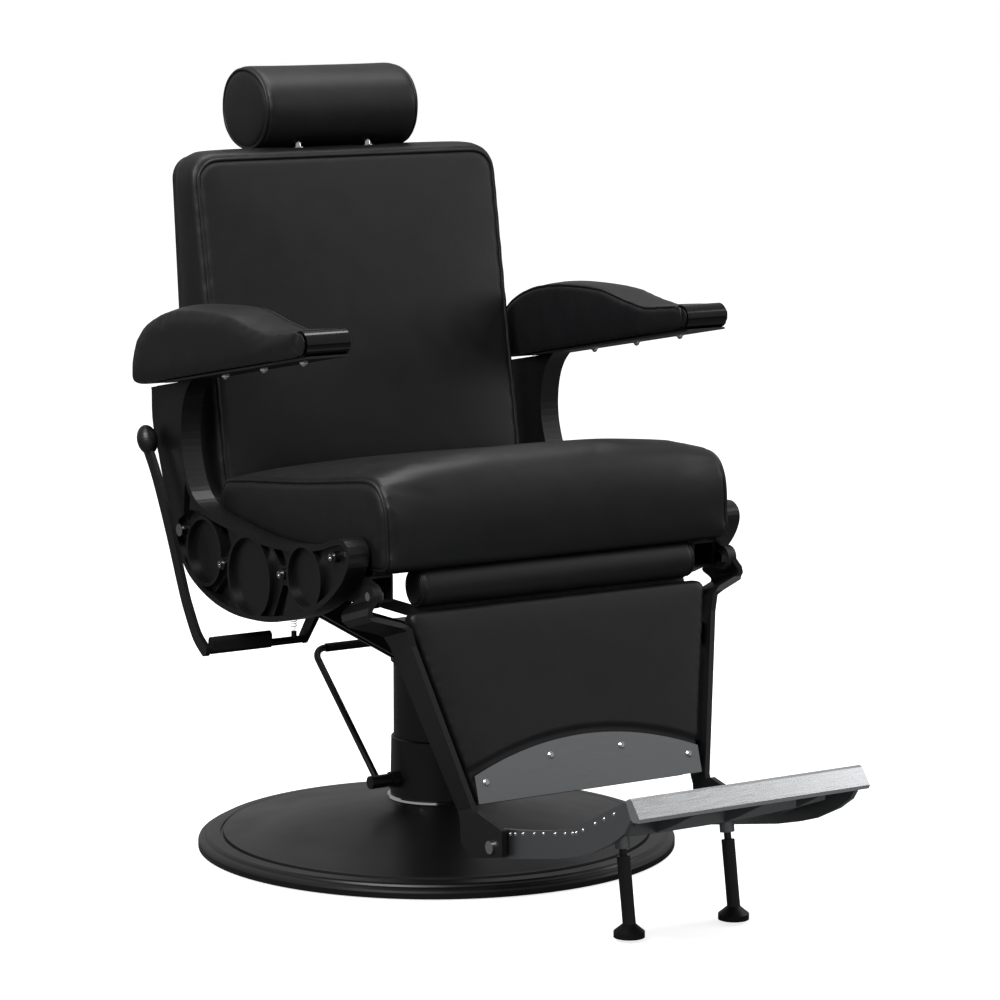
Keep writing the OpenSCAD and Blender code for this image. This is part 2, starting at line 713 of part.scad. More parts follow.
// Steel plates under the armrests
arm_plate_from = 4;
arm_plate_to = 0.82 * arm_len;
arm_plate_in = 5;
module arm_plates() {
    color("#202020") both() arm_frame() translate([arm_x - arm_w / 2 + arm_plate_in, arm_plate_from, -arm_plate_t])
        cube([arm_w - 2 * arm_plate_in, arm_plate_to - arm_plate_from, arm_plate_t]);
}

// Chrome cap nuts under the arm plates
nut_shares = [0.14, 0.36, 0.58];
module arm_nuts() {
    nut_r = 6;
    nut_h = 3;
    cap_r = 4;
    color("silver") both() arm_frame() for (s = nut_shares)
        translate([arm_x, s * arm_len, -arm_plate_t - nut_h]) {
            cylinder(r = nut_r, h = nut_h, $fn = 6);
            translate([0, 0, -cap_r / 2]) intersection() {
                translate([0, 0, cap_r / 2]) sphere(cap_r);
                translate([-cap_r, -cap_r, -cap_r]) cube([2 * cap_r, 2 * cap_r, 1.5 * cap_r]);
            }
        }
}

// Bracket and pin of the recline lever
lever_x = 184;
lever_y = 20;
lever_z = 372;
lever_rod_y = 68;
lever_rod_z = 311;
spring_x = 199;
spring_low = 324;
spring_high = 392;
eye_t = 8;
ear_gap = 0.3;
ear_t = 4;
lever_pin_r = 4;
module lever_bracket() {
    ear_r = 12;
    pin_over = 2;
    lug_t = 4;
    near = eye_t / 2 + ear_gap;
    color("#242426") right_side() {
        side_plate(spring_x - lug_t / 2, spring_x + lug_t / 2) polygon([[lever_rod_y - lug_t, spring_high + ear_gap],
            [lever_rod_y + lug_t, spring_high + ear_gap], [rail_rear, cross_z], [rail_rear - cross_w, cross_z]]);
        for (x = [lever_x - near - ear_t, lever_x + near]) difference() {
            union() {
                side_plate(x, x + ear_t) polygon([[mid_y, cross_z], [lever_y - ear_r, lever_z],
                    [lever_y + ear_r, lever_z], [mid_y + cross_w, cross_z]]);
                translate([0, lever_y, lever_z]) bar_x(x, x + ear_t, ear_r);
            }
            translate([0, lever_y, lever_z]) bar_x(x - over, x + ear_t + over, lever_pin_r);
        }
        translate([0, lever_y, lever_z]) 
            bar_x(lever_x - near - ear_t - pin_over, lever_x + near + ear_t + pin_over, lever_pin_r);
    }
}

// Guide block of the recline lock round the right link rod
link_w = 6;
link_gap = 0.3;
module recline_lock() {
    half = 12;
    low = 20;
    lock_in = 3;
    slot = link_w / 2 + 1;
    slot_low = 12;
    slot_top = 24;
    color("#2c2c2e") right_side() difference() {
        translate([link_half - half, mid_y + lock_in, lever_z - low])
            cube([2 * half, cross_w - 2 * lock_in, cross_z - lever_z + low]);
        translate([link_half - slot, mid_y, lever_z - slot_low]) cube([2 * slot, cross_w, slot_low + slot_top]);
    }
}

// Front and rear faces of the back, as Y at a height
back_ahead = 4;
back_ref_y = recline_y - back_ahead;
back_ref_z = 552;
function back_front(z) = back_ref_y + (z - back_ref_z) * tan(back_lean);
function back_rear(z) = back_front(z) + mix(back_t_low, back_t_top, (z - back_low) / (back_top - back_low));
// Outline with rounded corners, drawn in X and Z and drawn in by d
function round_outline(half_top, half_low, z0, z1, r_top, r_low, d, n) = concat(
    arc([half_low - r_low, z0 + r_low], r_low - d, -90, 0, n),
    arc([half_top - r_top, z1 - r_top], r_top - d, 0, 90, n),
    arc([r_top - half_top, z1 - r_top], r_top - d, 90, 180, n),
    arc([r_low - half_low, z0 + r_low], r_low - d, 180, 270, n));
back_low_corner = 24;
// Rings of a padded panel: share of the thickness from the rear, drawn-in edge, size share and crown share
pad_shares = [[0, 0.3, 1, 0], [0.06, 0, 1, 0], [0.72, 0, 1, 0], [0.88, 0.08, 1, 0], [0.97, 0.3, 1, 0],
    [1, 0.6, 1, 0.02], [1, 0.6, 0.8, 0.45], [1, 0.6, 0.5, 0.8], [1, 0.6, 0.2, 0.97]];
module back_cushion() {
    edge = 18;
    z_mid = (back_low + back_top) / 2;
    rings = [for (s = pad_shares) [for (p = round_outline(back_half, back_half, back_low, back_top,
        back_corner, back_low_corner, s[1] * edge, 8))
        let (x = p.x * s[2], z = z_mid + (p.y - z_mid) * s[2])
        [x, mix(back_rear(z) - back_board_t, back_front(z), s[0]) - back_crown * s[3], z]]];
    color("#1c1c1e") difference() {
        skin(rings);
        both() guide_line() cylinder(r = guide_r + soft_gap, h = 1.3 * guide_len);
    }
}

// Board at the rear of the back
board_in = 7;
board_gap = 0.3;
module back_board() {
    z0 = back_low + board_in;
    z1 = back_top - board_in;
    y_low = back_rear(z0) - back_board_t;
    tilt = atan((back_rear(z1) - back_rear(z0)) / (z1 - z0));
    color("#26221e") translate([0, y_low + board_gap, z0]) rotate([-tilt, 0, 0]) rotate([90, 0, 0])
        translate([0, 0, -back_board_t]) linear_extrude(back_board_t)
            polygon(round_outline(back_half - board_in, back_half - board_in, 0, (z1 - z0) / cos(tilt),
                back_corner - board_in, back_low_corner - board_in, 0, 8));
}

// Steel hinge frame of the back: tube, end plates, struts and link arms
hinge_tube_r = 12;
strut_x = 205;
strut_t = 8;
arm_bore_r = 4;
link_a = [recline_y + link_back * sin(recline_max / 2), recline_z - link_back * cos(recline_max / 2)];
module back_frame() {
    out_x = rail_out - soft_gap;
    end_t = 6;
    ear_r = 16;
    eye_r = 11;
    arm_t = 6;
    arm_in = link_half + link_w / 2 + link_gap;
    pin_over = 3;
    strut_w = 10;
    strut_gap = 0.1;
    under_gap = 2;
    strut_low = back_low - under_gap;
    strut_top = recline_z + 0.38 * (back_top - back_low);
    low_y = back_rear(strut_low) + board_gap + strut_gap;
    top_y = back_rear(strut_top) + board_gap + strut_gap;
    color("#202022") difference() {
        union() {
            translate([0, recline_y, recline_z]) bar_x(-out_x + end_t, out_x - end_t, hinge_tube_r);
            both() {
                translate([0, recline_y, recline_z]) bar_x(out_x - end_t, out_x, ear_r);
                side_plate(strut_x, strut_x + strut_t) polygon([[recline_y, recline_z - strut_w],
                    [low_y + strut_w, recline_z + strut_w], [top_y + strut_w, strut_top], [top_y, strut_top],
                    [low_y, strut_low], [recline_y, recline_z + strut_w]]);
                side_plate(arm_in, arm_in + arm_t) union() {
                    translate(link_a) circle(eye_r);
                    polygon([link_a + [-eye_r, 0], link_a + [eye_r, 0], [recline_y + hinge_tube_r, recline_z],
                        [recline_y - hinge_tube_r, recline_z]]);
                }
            }
        }
        both() translate([0, recline_y, recline_z]) bar_x(out_x - 2 * end_t, out_x + over, pivot_r + run_gap);
        both() translate([0, link_a.x, link_a.y]) bar_x(arm_in - over, arm_in + arm_t + over, arm_bore_r);
    }
    color("silver") both() translate([0, link_a.x, link_a.y]) bar_x(link_half - link_w / 2 - pin_over,
        arm_in + arm_t, arm_bore_r);
}

// Pivot bolts of the back, held in the side frames
module back_pivot_bolts() {
    head_r = 9;
    head_h = 4;
    inner = 10;
    color("silver") both() translate([0, recline_y, recline_z]) {
        bar_x(rail_out - inner, frame_out, pivot_r);
        bar_x(frame_out, frame_out + head_h, head_r);
    }
}

// Guide tubes of the headrest posts
guide_r = 9;
guide_len = 150;
guide_share = 0.6;
guide_top_y = mix(back_front(back_top), back_rear(back_top), guide_share);
module guide_line() {
    translate([post_half, guide_top_y - guide_len * sin(back_lean), back_top - guide_len * cos(back_lean)])
        rotate([-back_lean, 0, 0]) children();
}
module headrest_guides() {
    color("gray") both() guide_line() difference() {
        cylinder(r = guide_r, h = guide_len);
        translate([0, 0, -over]) cylinder(r = post_r + run_gap, h = guide_len + 2 * over);
    }
}

// Headrest: posts, core board and cushion
head_back = 34;
head_gap = 2;
head_y = guide_top_y + head_back;
head_z = back_top + head_gap + 0.51 * head_high;
head_tilt = 11;
head_power = 2.15;
core_h = 12;
core_low = 20;
core_side = 30;
core_deep = 60;
core_front = 40;
post_from = 8;
post_end = 1;
post_to = guide_len + (head_z - core_low - back_top) / cos(back_lean) - post_end;
module headrest_posts() {
    color("silver") both() guide_line() translate([0, 0, post_from]) cylinder(r = post_r, h = post_to - post_from);
}
module core_block(d) {
    translate([-post_half - core_side - d, head_y - core_front - d, head_z - core_low - core_h - d])
        cube([2 * (post_half + core_side + d), core_deep + 2 * d, core_h + 2 * d]);
}
module headrest_core() {
    color("#3a3026") difference() {
        core_block(0);
        both() guide_line() cylinder(r = post_r, h = post_to);
    }
}
head_shares = [[-1, 0.45], [-0.99, 0.8], [-0.97, 0.94], [-0.945, 0.985], [-0.9, 1], [-0.6, 0.99], [-0.3, 0.985],
    [0, 0.985], [0.3, 0.985], [0.6, 0.99], [0.9, 1], [0.945, 0.985], [0.97, 0.94], [0.99, 0.8], [1, 0.45]];
function power(v) = sign(v) * pow(abs(v), 2 / head_power);
module headrest_cushion() {
    n = 36;
    rings = [for (e = head_shares) [for (i = [0:n - 1])
        let (a = -i * 360 / n, u = head_deep / 2 * power(cos(a)) * e[1], v = head_high / 2 * power(sin(a)) * e[1])
        [e[0] * head_len / 2, head_y + u * cos(head_tilt) - v * sin(head_tilt),
            head_z + u * sin(head_tilt) + v * cos(head_tilt)]]];
    color("#1c1c1e") difference() {
        skin(rings);
        core_block(soft_gap);
        both() guide_line() cylinder(r = post_r + soft_gap, h = post_to + soft_gap);
    }
}

// Recline lever: a flat bar outside the frame, a rod under the seat and an eye on its pin
lever_rod_r = 5.5;
lever_bar_x = 341;
lever_bar_t = 7;
lever_bar_w = 18;
lever_reach = 165;
lever_rise = 277;
lever_shares = [[0, 0], [0.14, 0.06], [0.27, 0.17], [0.37, 0.275], [0.59, 0.56], [0.83, 0.835], [1, 0.98]];
lever_line = [for (s = lever_shares) [lever_rod_y + s[0] * lever_reach, lever_rod_z + s[1] * lever_rise]];
module lever_bar_shape() {
    line = open_curve(lever_line, 4);
    n = len(line);
    polygon(concat(
        [for (i = [0:n - 1]) line[i] + lever_bar_w / 2 * left_of(line[max(i - 1, 0)], line[min(i + 1, n - 1)])],
        [for (i = [n - 1:-1:0]) line[i] - lever_bar_w / 2 * left_of(line[max(i - 1, 0)], line[min(i + 1, n - 1)])]));
    translate(line[0]) circle(lever_bar_w / 2);
}
module recline_lever() {
    eye_r = 10;
    arm_half = 7;
    hook_r = 4;
    color("#161618") right_side() difference() {
        union() {
            side_plate(lever_bar_x, lever_bar_x + lever_bar_t) lever_bar_shape();
            translate([0, lever_rod_y, lever_rod_z]) bar_x(lever_x - eye_t / 2, lever_bar_x + lever_bar_t, lever_rod_r);
            side_plate(lever_x - eye_t / 2, lever_x + eye_t / 2) {
                translate([lever_y, lever_z]) circle(eye_r);
                polygon([[lever_y - arm_half, lever_z - arm_half], [lever_rod_y - lever_rod_r, lever_rod_z - lever_rod_r],
                    [lever_rod_y + lever_rod_r, lever_rod_z + lever_rod_r], [lever_y + arm_half, lever_z + arm_half]]);
            }
            translate([spring_x, lever_rod_y, lever_rod_z]) cylinder(r = hook_r, h = spring_low - lever_rod_z);
        }
        translate([0, lever_y, lever_z]) bar_x(lever_x - eye_t, lever_x + eye_t, lever_pin_r + run_gap);
    }
}
knob_y = lever_rod_y + lever_reach;
knob_z = lever_rod_z + 1.02 * lever_rise;
knob_lean = -24;
knob_r = 15;
knob_half = 22;
module lever_knob() {
    color("#101010") right_side() difference() {
        translate([lever_bar_x + lever_bar_t / 2, knob_y, knob_z]) rotate([knob_lean, 0, 0])
            rotate_extrude() polygon(concat([[0, -knob_half]],
                [for (a = [-80:10:80]) [knob_r * cos(a), knob_half * sin(a)]], [[0, knob_half]]));
        side_plate(lever_bar_x, lever_bar_x + lever_bar_t) lever_bar_shape();
    }
}
sleeve_from = 239;
sleeve_to = 336;
sleeve_r = 7;
sleeve_rise = 11;
module lever_sleeve() {
    color("#121212") right_side() translate([0, lever_rod_y, lever_rod_z]) difference() {
        side_plate(sleeve_from, sleeve_to) union() {
            circle(sleeve_r);
            translate([-sleeve_r, 0]) square([2 * sleeve_r, sleeve_rise]);
            translate([0, sleeve_rise]) circle(sleeve_r);
        }
        bar_x(sleeve_from - over, sleeve_to + over, lever_rod_r);
    }
}

// Return spring of the lever: one unbroken wire
spring_r = 5;
wire_r = 0.6;
curls = 16;
module return_spring() {
    r = spring_r - wire_r;
    hook = 5;
    tail = 2;
    steps = curls * 8;
    path = concat([[0, 0, 0], [0, 0, tail]],
        [for (i = [0:steps]) let (a = i * 45)
            [r * cos(a), r * sin(a), hook + (spring_high - spring_low - 2 * hook) * i / steps]],
        [[0, 0, spring_high - spring_low - tail], [0, 0, spring_high - spring_low]]);
    n = len(path);
    way = [for (i = [0:n - 1]) let (d = path[min(i + 1, n - 1)] - path[max(i - 1, 0)]) d / norm(d)];
    rings = [for (i = [0:n - 1]) let (t = way[i], u = cross(t, [0, 1, 0.3]), e = u / norm(u), f = cross(t, e))
        [for (j = [0:5]) path[i] + wire_r * (cos(j * 60) * e + sin(j * 60) * f)]];
    gaps = [for (i = [2:n - 11]) norm(path[i] - path[i + 8]) - 2 * wire_r];
    echo(spring_gap = min(gaps));
    color("silver") translate([-spring_x, lever_rod_y, spring_low]) skin(rings);
}

// Leg rest straps, drawn in the leg rest's own frame
strap_front = 12.6;
strap_back = strap_deep - strap_front;
tab_x = frame_in + ear_gap;
tab_r = 17;
strap_low = 300;
strap_end_x = 199;
strap_shoulder_x = 261;
strap_shoulder = 43;
strap_foot = 17;
// Middle of the strap inward of its pivot: X runs out and Z is down from the pivot
strap_mid = [[tab_x + strap_t / 2, -tab_r], [tab_x + strap_t / 2, 0], [tab_x + strap_t / 2, 0.4 * tab_r],
    [tab_x + 1.7 * strap_t, 1.1 * tab_r], [tab_x + 1.9 * strap_t, 1.45 * tab_r], [tab_x + 1.3 * strap_t, 1.85 * tab_r],
    [strap_shoulder_x + 0.7 * strap_t, 1.04 * strap_shoulder], [strap_shoulder_x - 0.75 * strap_t, 1.22 * strap_shoulder],
    [strap_end_x - strap_t / 2, strap_low], [strap_end_x - strap_t / 2, strap_low + strap_foot]];
strap_line = [for (p = strap_mid) [p.x, -p.y]];
side_shares = [[-0.47, 0.01], [-0.28, 0.1], [-0.5, 0.16], [-0.36, 0.25], [-0.35, 1.06], [0.56, 1.06], [0.65, 1],
    [1.11, 0.23], [1.53, 0.1], [1.74, 0.04], [1.67, 0.023], [1.11, 0.005], [0.47, -0.01]];
end_plate_shares = [[-0.245, 0.167], [-0.233, -0.058], [-0.15, -0.16], [0.08, -0.058], [0.08, 0.173], [-0.117, 0.263]];
module leg_strap() {
    color("#1c1c1e") difference() {
        union() {
            leg_frame() intersection() {
                cross_plate(-strap_deep, 2 * strap_deep) polygon(concat(band(strap_line, strap_t / 2),
                    [for (i = [len(strap_line) - 1:-1:0]) band(strap_line, -strap_t / 2)[i]]));
                union() {
                    bar_x(strap_end_x - 2 * strap_t, tab_x + 3 * strap_t, tab_r);
                    side_plate(strap_end_x - 2 * strap_t, tab_x + 3 * strap_t)
                        polygon([for (s = side_shares) [s[0] * strap_deep, -s[1] * strap_low]]);
                }
            }
            side_plate(strap_end_x - strap_t, strap_end_x) polygon([for (s = end_plate_shares) foot_at(s)]);
        }
        translate([0, leg_y, leg_z]) bar_x(tab_x - over, tab_x + strap_t + over, pivot_r + run_gap);
        translate([0, foot_y, foot_z]) bar_x(strap_end_x - strap_t - over, strap_end_x + over, pivot_r);
    }
}
module leg_strap_left() {
    leg_strap();
}
module leg_strap_right() {
    right_side() leg_strap();
}

// Pivot pins of the leg rest, held in the seat's side plates
module leg_pivot_bolts() {
    nut_r = 10;
    nut_h = 6;
    color("silver") both() translate([0, leg_y, leg_z]) {
        bar_x(rail_out - nut_h, tab_x + strap_t, pivot_r);
        rotate([0, 90, 0]) translate([0, 0, rail_out - nut_h]) cylinder(r = nut_r, h = nut_h, $fn = 6);
    }
}

// Half width inside the straps at a height of the leg rest
function strap_in(z) = let (a = strap_line[7], b = strap_line[8])
    mix(a.x, b.x, (z - a.y) / (b.y - a.y)) - strap_t / 2;

// Bars across the back of the leg rest
board_front = 14;
board_t = strap_back - board_front;
crossbar_shares = [0.27, 0.82];
module leg_crossbars() {
    bar_h = 30;
    bar_t = 5;
    butt_gap = 0.5;
    color("#202022") leg_frame() for (s = crossbar_shares)
        let (z = -s * strap_low, w0 = strap_in(z) - butt_gap, w1 = strap_in(z - bar_h) - butt_gap)
            cross_plate(strap_back, strap_back + bar_t)
                polygon([[-w1, z - bar_h], [w1, z - bar_h], [w0, z], [-w0, z]]);
}

// Board behind the calf pad with the lugs of the link rods
leg_link = link_back * sin(recline_max / 2) / sin(leg_max / 2);
link_b = [leg_y + leg_link * sin(leg_max / 2), leg_z - leg_link * cos(leg_max / 2)];
calf_low = 297;
lug_t = 6;
lug_x = link_half + link_w / 2 + link_gap;
board_top = 20.2;
module calf_board() {
    lug_r = 9;
    side = 20;
    mid_z = -60;
    color("#26221e") leg_frame() cross_plate(board_front, strap_back)
        polygon([[side - strap_in(-calf_low), -calf_low], [strap_in(-calf_low) - side, -calf_low],
            [strap_in(mid_z) - side, mid_z], [calf_top_half - side, -board_top], [side - calf_top_half, -board_top],
            [side - strap_in(mid_z), mid_z]]);
    color("#242426") both() difference() {
        side_plate(lug_x, lug_x + lug_t) union() {
            translate(link_b) circle(lug_r);
            polygon([link_b + [-lug_r, 0], link_b + [lug_r, 0], link_b + [-lug_r / 2, 3 * lug_r],
                link_b + [-3 * lug_r, 2 * lug_r], link_b + [-4 * lug_r, -3 * lug_r]]);
        }
        leg_frame() translate([0, strap_back - 2 * strap_deep, -calf_low])
            cube([2 * link_half, 2 * strap_deep, 2 * calf_low]);
        translate([0, link_b.x, link_b.y]) bar_x(link_half, lug_x + lug_t + over, arm_bore_r);
    }
    color("silver") both() translate([0, link_b.x, link_b.y])
        bar_x(link_half - link_w / 2 - link_gap, lug_x + lug_t, arm_bore_r);
}

// Padded calf panel
calf_top = 27;
calf_corner = 12;
pad_face = board_front - soft_gap - calf_t;
module calf_pad() {
    edge = 10;
    z_mid = -(calf_top + calf_low) / 2;
    rings = [for (s = pad_shares) [for (p = round_outline(calf_top_half, calf_low_half, -calf_low, -calf_top,
        calf_corner, calf_corner, s[1] * edge, 6)) let (x = p.x * s[2], z = z_mid + (p.y - z_mid) * s[2])
        [x, mix(board_front - soft_gap, pad_face, s[0]), z]]];
    color("#1c1c1e") leg_frame() skin(rings);
}

// Padded roll over the leg rest's pivot line
roll_half = 229;
roll_back = 3;
roll_y = leg_y + roll_back;
roll_shares = [[-1, 0.5], [-0.997, 0.84], [-0.988, 0.97], [-0.97, 1], [-0.5, 1], [0, 1], [0.5, 1], [0.97, 1],
    [0.988, 0.97], [0.997, 0.84], [1, 0.5]];
module calf_roll() {
    n = 28;
    rings = [for (e = roll_shares) [for (i = [0:n - 1]) let (a = -i * 360 / n)
        [e[0] * roll_half, roll_y + roll_r * e[1] * cos(a), leg_z + roll_r * e[1] * sin(a)]]];
    color("#1c1c1e") skin(rings);
}

// Arched guard plate with its screws
guard_half = 186;
guard_z = -297;
guard_side = 38;
guard_gap = 0.3;
guard_face = pad_face - guard_gap - guard_t;
function guard_top(x) = guard_z + guard_side + guard_rise * (1 - pow(x / guard_half, 2));
module guard_plate() {
    n = 24;
    color("#7d7f80") leg_frame() cross_plate(guard_face, guard_face + guard_t) polygon(concat(
        [[-guard_half, guard_z], [guard_half, guard_z]],
        [for (i = [0:n]) let (x = guard_half * (1 - 2 * i / n)) [x, guard_top(x)]]));
}
guard_screw_places = [[169, -269.5], [59, -244.7]];
module guard_screws() {
    head_r = 5;
    head_h = 2.5;
    color("silver") leg_frame() both() for (p = guard_screw_places)
        translate([p.x, guard_face, p.y]) rotate([90, 0, 0]) cylinder(r1 = head_r, r2 = 0.6 * head_r, h = head_h);
}

// Link rods from the back to the leg rest
module link_rods() {
    rod_h = 16;
    eye_r = 9;
    slot = 3.5;
    d = link_a - link_b;
    color("#2a2a2c") both() side_plate(link_half - link_w / 2, link_half + link_w / 2) difference() {
        union() {
            translate(link_b) circle(eye_r);
            translate(link_a) circle(eye_r + slot);
            translate(link_b) rotate(atan2(d.y, d.x)) translate([0, -rod_h / 2]) square([norm(d), rod_h]);
        }
        translate(link_b) circle(arm_bore_r + run_gap);
        translate(link_a) circle(arm_bore_r + slot);
    }
}

// Footrest: cheeks, deck, ribs and leg sockets in one casting
deck_drop = 5;
cheek_in = foot_half - cheek_t;
cheek_top_shares = [[0.92, 0.75], [0.82, 0.655], [0.737, 0.569], [0.631, 0.46], [0.525, 0.366], [0.38, 0.288],
    [0.233, 0.229], [0.1, 0.185], [0.009, 0.155], [-0.08, 0.135], [-0.15, 0.09], [-0.17, 0.02]];
cheek_low_shares = [[-0.165, -0.05], [-0.12, -0.11], [-0.048, -0.133], [0.159, -0.046], [0.417, 0.062],
    [0.561, 0.14], [0.667, 0.21], [0.821, 0.36], [0.904, 0.475], [0.95, 0.61]];
foot_rise = 156;
function foot_at(s) = [foot_y - s[0] * foot_len, foot_z + s[1] * foot_rise];
cheek_top = [for (s = cheek_top_shares) foot_at(s)];
cheek_low = [for (s = cheek_low_shares) foot_at(s)];
nose_shares = [[0.912, 0.755], [0.938, 0.782], [0.956, 0.77], [1.008, 0.635], [1.002, 0.6], [0.965, 0.592],
    [0.946, 0.615], [0.92, 0.72]];
function band(p, d) = [for (i = [0:len(p) - 1])
    p[i] + d * left_of(p[max(i - 1, 0)], p[min(i + 1, len(p) - 1)])];
module nose_shape() {
    polygon([for (s = nose_shares) foot_at(s)]);
}
deck_line = [for (s = cheek_top_shares) if (s[0] > 0.15) foot_at(s)];
module deck_band(top, low) {
    under = band(deck_line, -low);
    polygon(concat(band(deck_line, -top), [for (i = [len(under) - 1:-1:0]) under[i]]));
}
leg_y0 = -595;
leg_z0 = 122;
leg_slope = 9;
leg_neck_r = 5;
neck_out = 10;
neck_in = 12;
leg_travel = 9;
module leg_line() {
    translate([leg_half, leg_y0, leg_z0]) rotate([-leg_slope, 0, 0]) children();
}
module footrest_tray() {
    rib_deep = 14;
    rib_t = 4;
    rib_shares = [0.3, 0.8];
    socket_r = 10;
    socket_h = 34;
    sweep_r = 1.6 * foot_half;
    color("#808284") difference() {
        union() {
            both() side_plate(cheek_in, foot_half) polygon(concat(cheek_low, cheek_top));
            side_plate(-cheek_in, cheek_in) deck_band(deck_drop, deck_drop + deck_t);
            for (s = rib_shares) both()
                side_plate(s * foot_half - rib_t / 2, s * foot_half + rib_t / 2)
                    deck_band(deck_drop + deck_t, deck_drop + deck_t + rib_deep);
            intersection() {
                side_plate(-cheek_in, cheek_in) deck_band(deck_drop + deck_t, deck_drop + deck_t + rib_deep);
                translate([0, foot_y - foot_len - sweep_r / 2, foot_z]) difference() {
                    cylinder(r = sweep_r, h = foot_rise, $fn = 96);
                    cylinder(r = sweep_r - rib_t, h = foot_rise, $fn = 96);
                }
            }
            both() difference() {
                leg_line() cylinder(r = socket_r, h = socket_h);
                side_plate(0, 2 * leg_half) deck_band(-foot_rise, deck_drop + deck_t / 2);
            }
        }
        both() translate([0, foot_y, foot_z]) bar_x(cheek_in - over, foot_half + over, pivot_r + run_gap);
        both() leg_line() translate([0, 0, -over]) cylinder(r = leg_neck_r + run_gap, h = neck_in + leg_travel + 2 * over);
        side_plate(-foot_half, foot_half) nose_shape();
    }
}
module footrest_nose() {
    color("silver") side_plate(-foot_half, foot_half) nose_shape();
}
stud_shares = [[0.045, 0.124], [0.107, 0.147], [0.196, 0.187], [0.329, 0.242], [0.452, 0.292], [0.539, 0.331],
    [0.596, 0.372], [0.72, 0.5], [0.83, 0.61]];
module footrest_studs() {
    stud_r = 3;
    stud_h = 1.5;
    line = open_curve([for (s = stud_shares) foot_at(s)], 6);
    color("silver") both() for (i = [0:stud_count - 1])
        let (p = line[round(i * (len(line) - 1) / (stud_count - 1))])
            translate([foot_half, p.x, p.y]) rotate([0, 90, 0]) cylinder(r1 = stud_r, r2 = stud_r / 2, h = stud_h);
}
module footrest_bolts() {
    head_r = 9;
    head_h = 4;
    nut_h = 5;
    side_gap = 0.3;
    color("silver") both() translate([0, foot_y, foot_z]) {
        bar_x(cheek_in - side_gap - nut_h, strap_end_x, pivot_r);
        bar_x(cheek_in - side_gap - nut_h, cheek_in - side_gap, head_r);
        bar_x(foot_half + side_gap, strap_end_x - strap_t, head_r);
        bar_x(strap_end_x, strap_end_x + head_h, head_r);
    }
}

// Adjustable support legs and their feet
foot_clear = 5;
foot_disc_h = 8;
foot_cone_h = 10;
foot_top = foot_clear + foot_disc_h + foot_cone_h;
module support_leg() {
    leg_len = (leg_z0 - foot_top) / cos(leg_slope) + leg_r;
    color("#1a1a1c") difference() {
        leg_line() {
            translate([0, 0, -neck_out]) cylinder(r = leg_neck_r, h = neck_out + neck_in);
            translate([0, 0, -leg_len]) cylinder(r = leg_r, h = leg_len - neck_out);
        }
        translate([leg_half - 2 * leg_r, leg_y0 - leg_z0, 0]) cube([4 * leg_r, 2 * leg_z0, foot_top]);
    }
}
module support_leg_left() {
    support_leg();
}
module support_leg_right() {
    right_side() support_leg();
}
module support_foot() {
    y = leg_y0 - (leg_z0 - foot_top) * tan(leg_slope);
    color("#141414") translate([leg_half, y, foot_clear]) {
        cylinder(r = foot_r, h = foot_disc_h);
        translate([0, 0, foot_disc_h]) cylinder(r1 = foot_r, r2 = leg_r, h = foot_cone_h);
    }
}
module support_foot_left() {
    support_foot();
}
module support_foot_right() {
    right_side() support_foot();
}

floor_pad();
base_plate();
base_cover();
column_jacket();
jacket_ring();
column_bolts();
pump_cylinder();
pump_lever();
pump_pedal_sleeve();
lift_column();
lift_ram();
seat_cradle();
cradle_bolts();
seat_frame();
seat_board();
seat_cushion();
side_frame_right();
side_frame_left();
side_frame_bolts();
arm_plates();
arm_pad_right();
arm_pad_left();
arm_end_right();
arm_end_left();
arm_tubes();
arm_nuts();
seat_side_plates();
lever_bracket();
recline_lock();
back_frame();
back_board();
back_cushion();
back_pivot_bolts();
headrest_guides();
headrest_posts();
headrest_core();
headrest_cushion();
recline_lever();
lever_knob();
lever_sleeve();
return_spring();
leg_strap_right();
leg_strap_left();
leg_crossbars();
calf_board();
calf_pad();
calf_roll();
guard_plate();
guard_screws();
leg_pivot_bolts();
link_rods();
footrest_tray();
footrest_nose();
footrest_studs();
footrest_bolts();
support_leg_right();
support_leg_left();
support_foot_right();
support_foot_left();
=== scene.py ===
# %% [markdown]
# A barber chair dressed for a studio photograph
#
# The chair's metal skeleton arrives finished: every casting, tube and bolt already has its real size and
# place. This script gives those pieces their surfaces, raises the floors of the cast pockets, and models
# what only looks right when it is soft, which is the upholstery. Each step first says what the piece is on
# the real chair.

# %% Load the chair's frame
import json
import math
import time

import bmesh
import bpy
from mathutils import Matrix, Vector, noise
from mathutils.bvhtree import BVHTree
from mathutils.kdtree import KDTree


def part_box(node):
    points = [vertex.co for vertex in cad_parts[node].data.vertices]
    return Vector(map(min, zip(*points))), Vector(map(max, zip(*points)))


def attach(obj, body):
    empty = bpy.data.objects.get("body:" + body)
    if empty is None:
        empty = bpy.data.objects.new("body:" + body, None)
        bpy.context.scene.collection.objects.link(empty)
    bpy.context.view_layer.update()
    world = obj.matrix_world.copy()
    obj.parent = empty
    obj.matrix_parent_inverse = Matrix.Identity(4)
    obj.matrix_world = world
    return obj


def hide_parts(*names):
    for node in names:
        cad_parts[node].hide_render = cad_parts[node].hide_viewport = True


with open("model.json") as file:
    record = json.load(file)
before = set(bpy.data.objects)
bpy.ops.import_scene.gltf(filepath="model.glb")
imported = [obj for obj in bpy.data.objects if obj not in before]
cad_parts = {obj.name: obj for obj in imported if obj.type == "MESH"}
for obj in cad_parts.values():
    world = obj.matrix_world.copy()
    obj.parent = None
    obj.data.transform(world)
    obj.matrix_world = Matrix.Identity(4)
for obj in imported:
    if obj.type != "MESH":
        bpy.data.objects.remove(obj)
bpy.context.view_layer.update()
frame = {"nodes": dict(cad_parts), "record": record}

nodes = frame["nodes"]
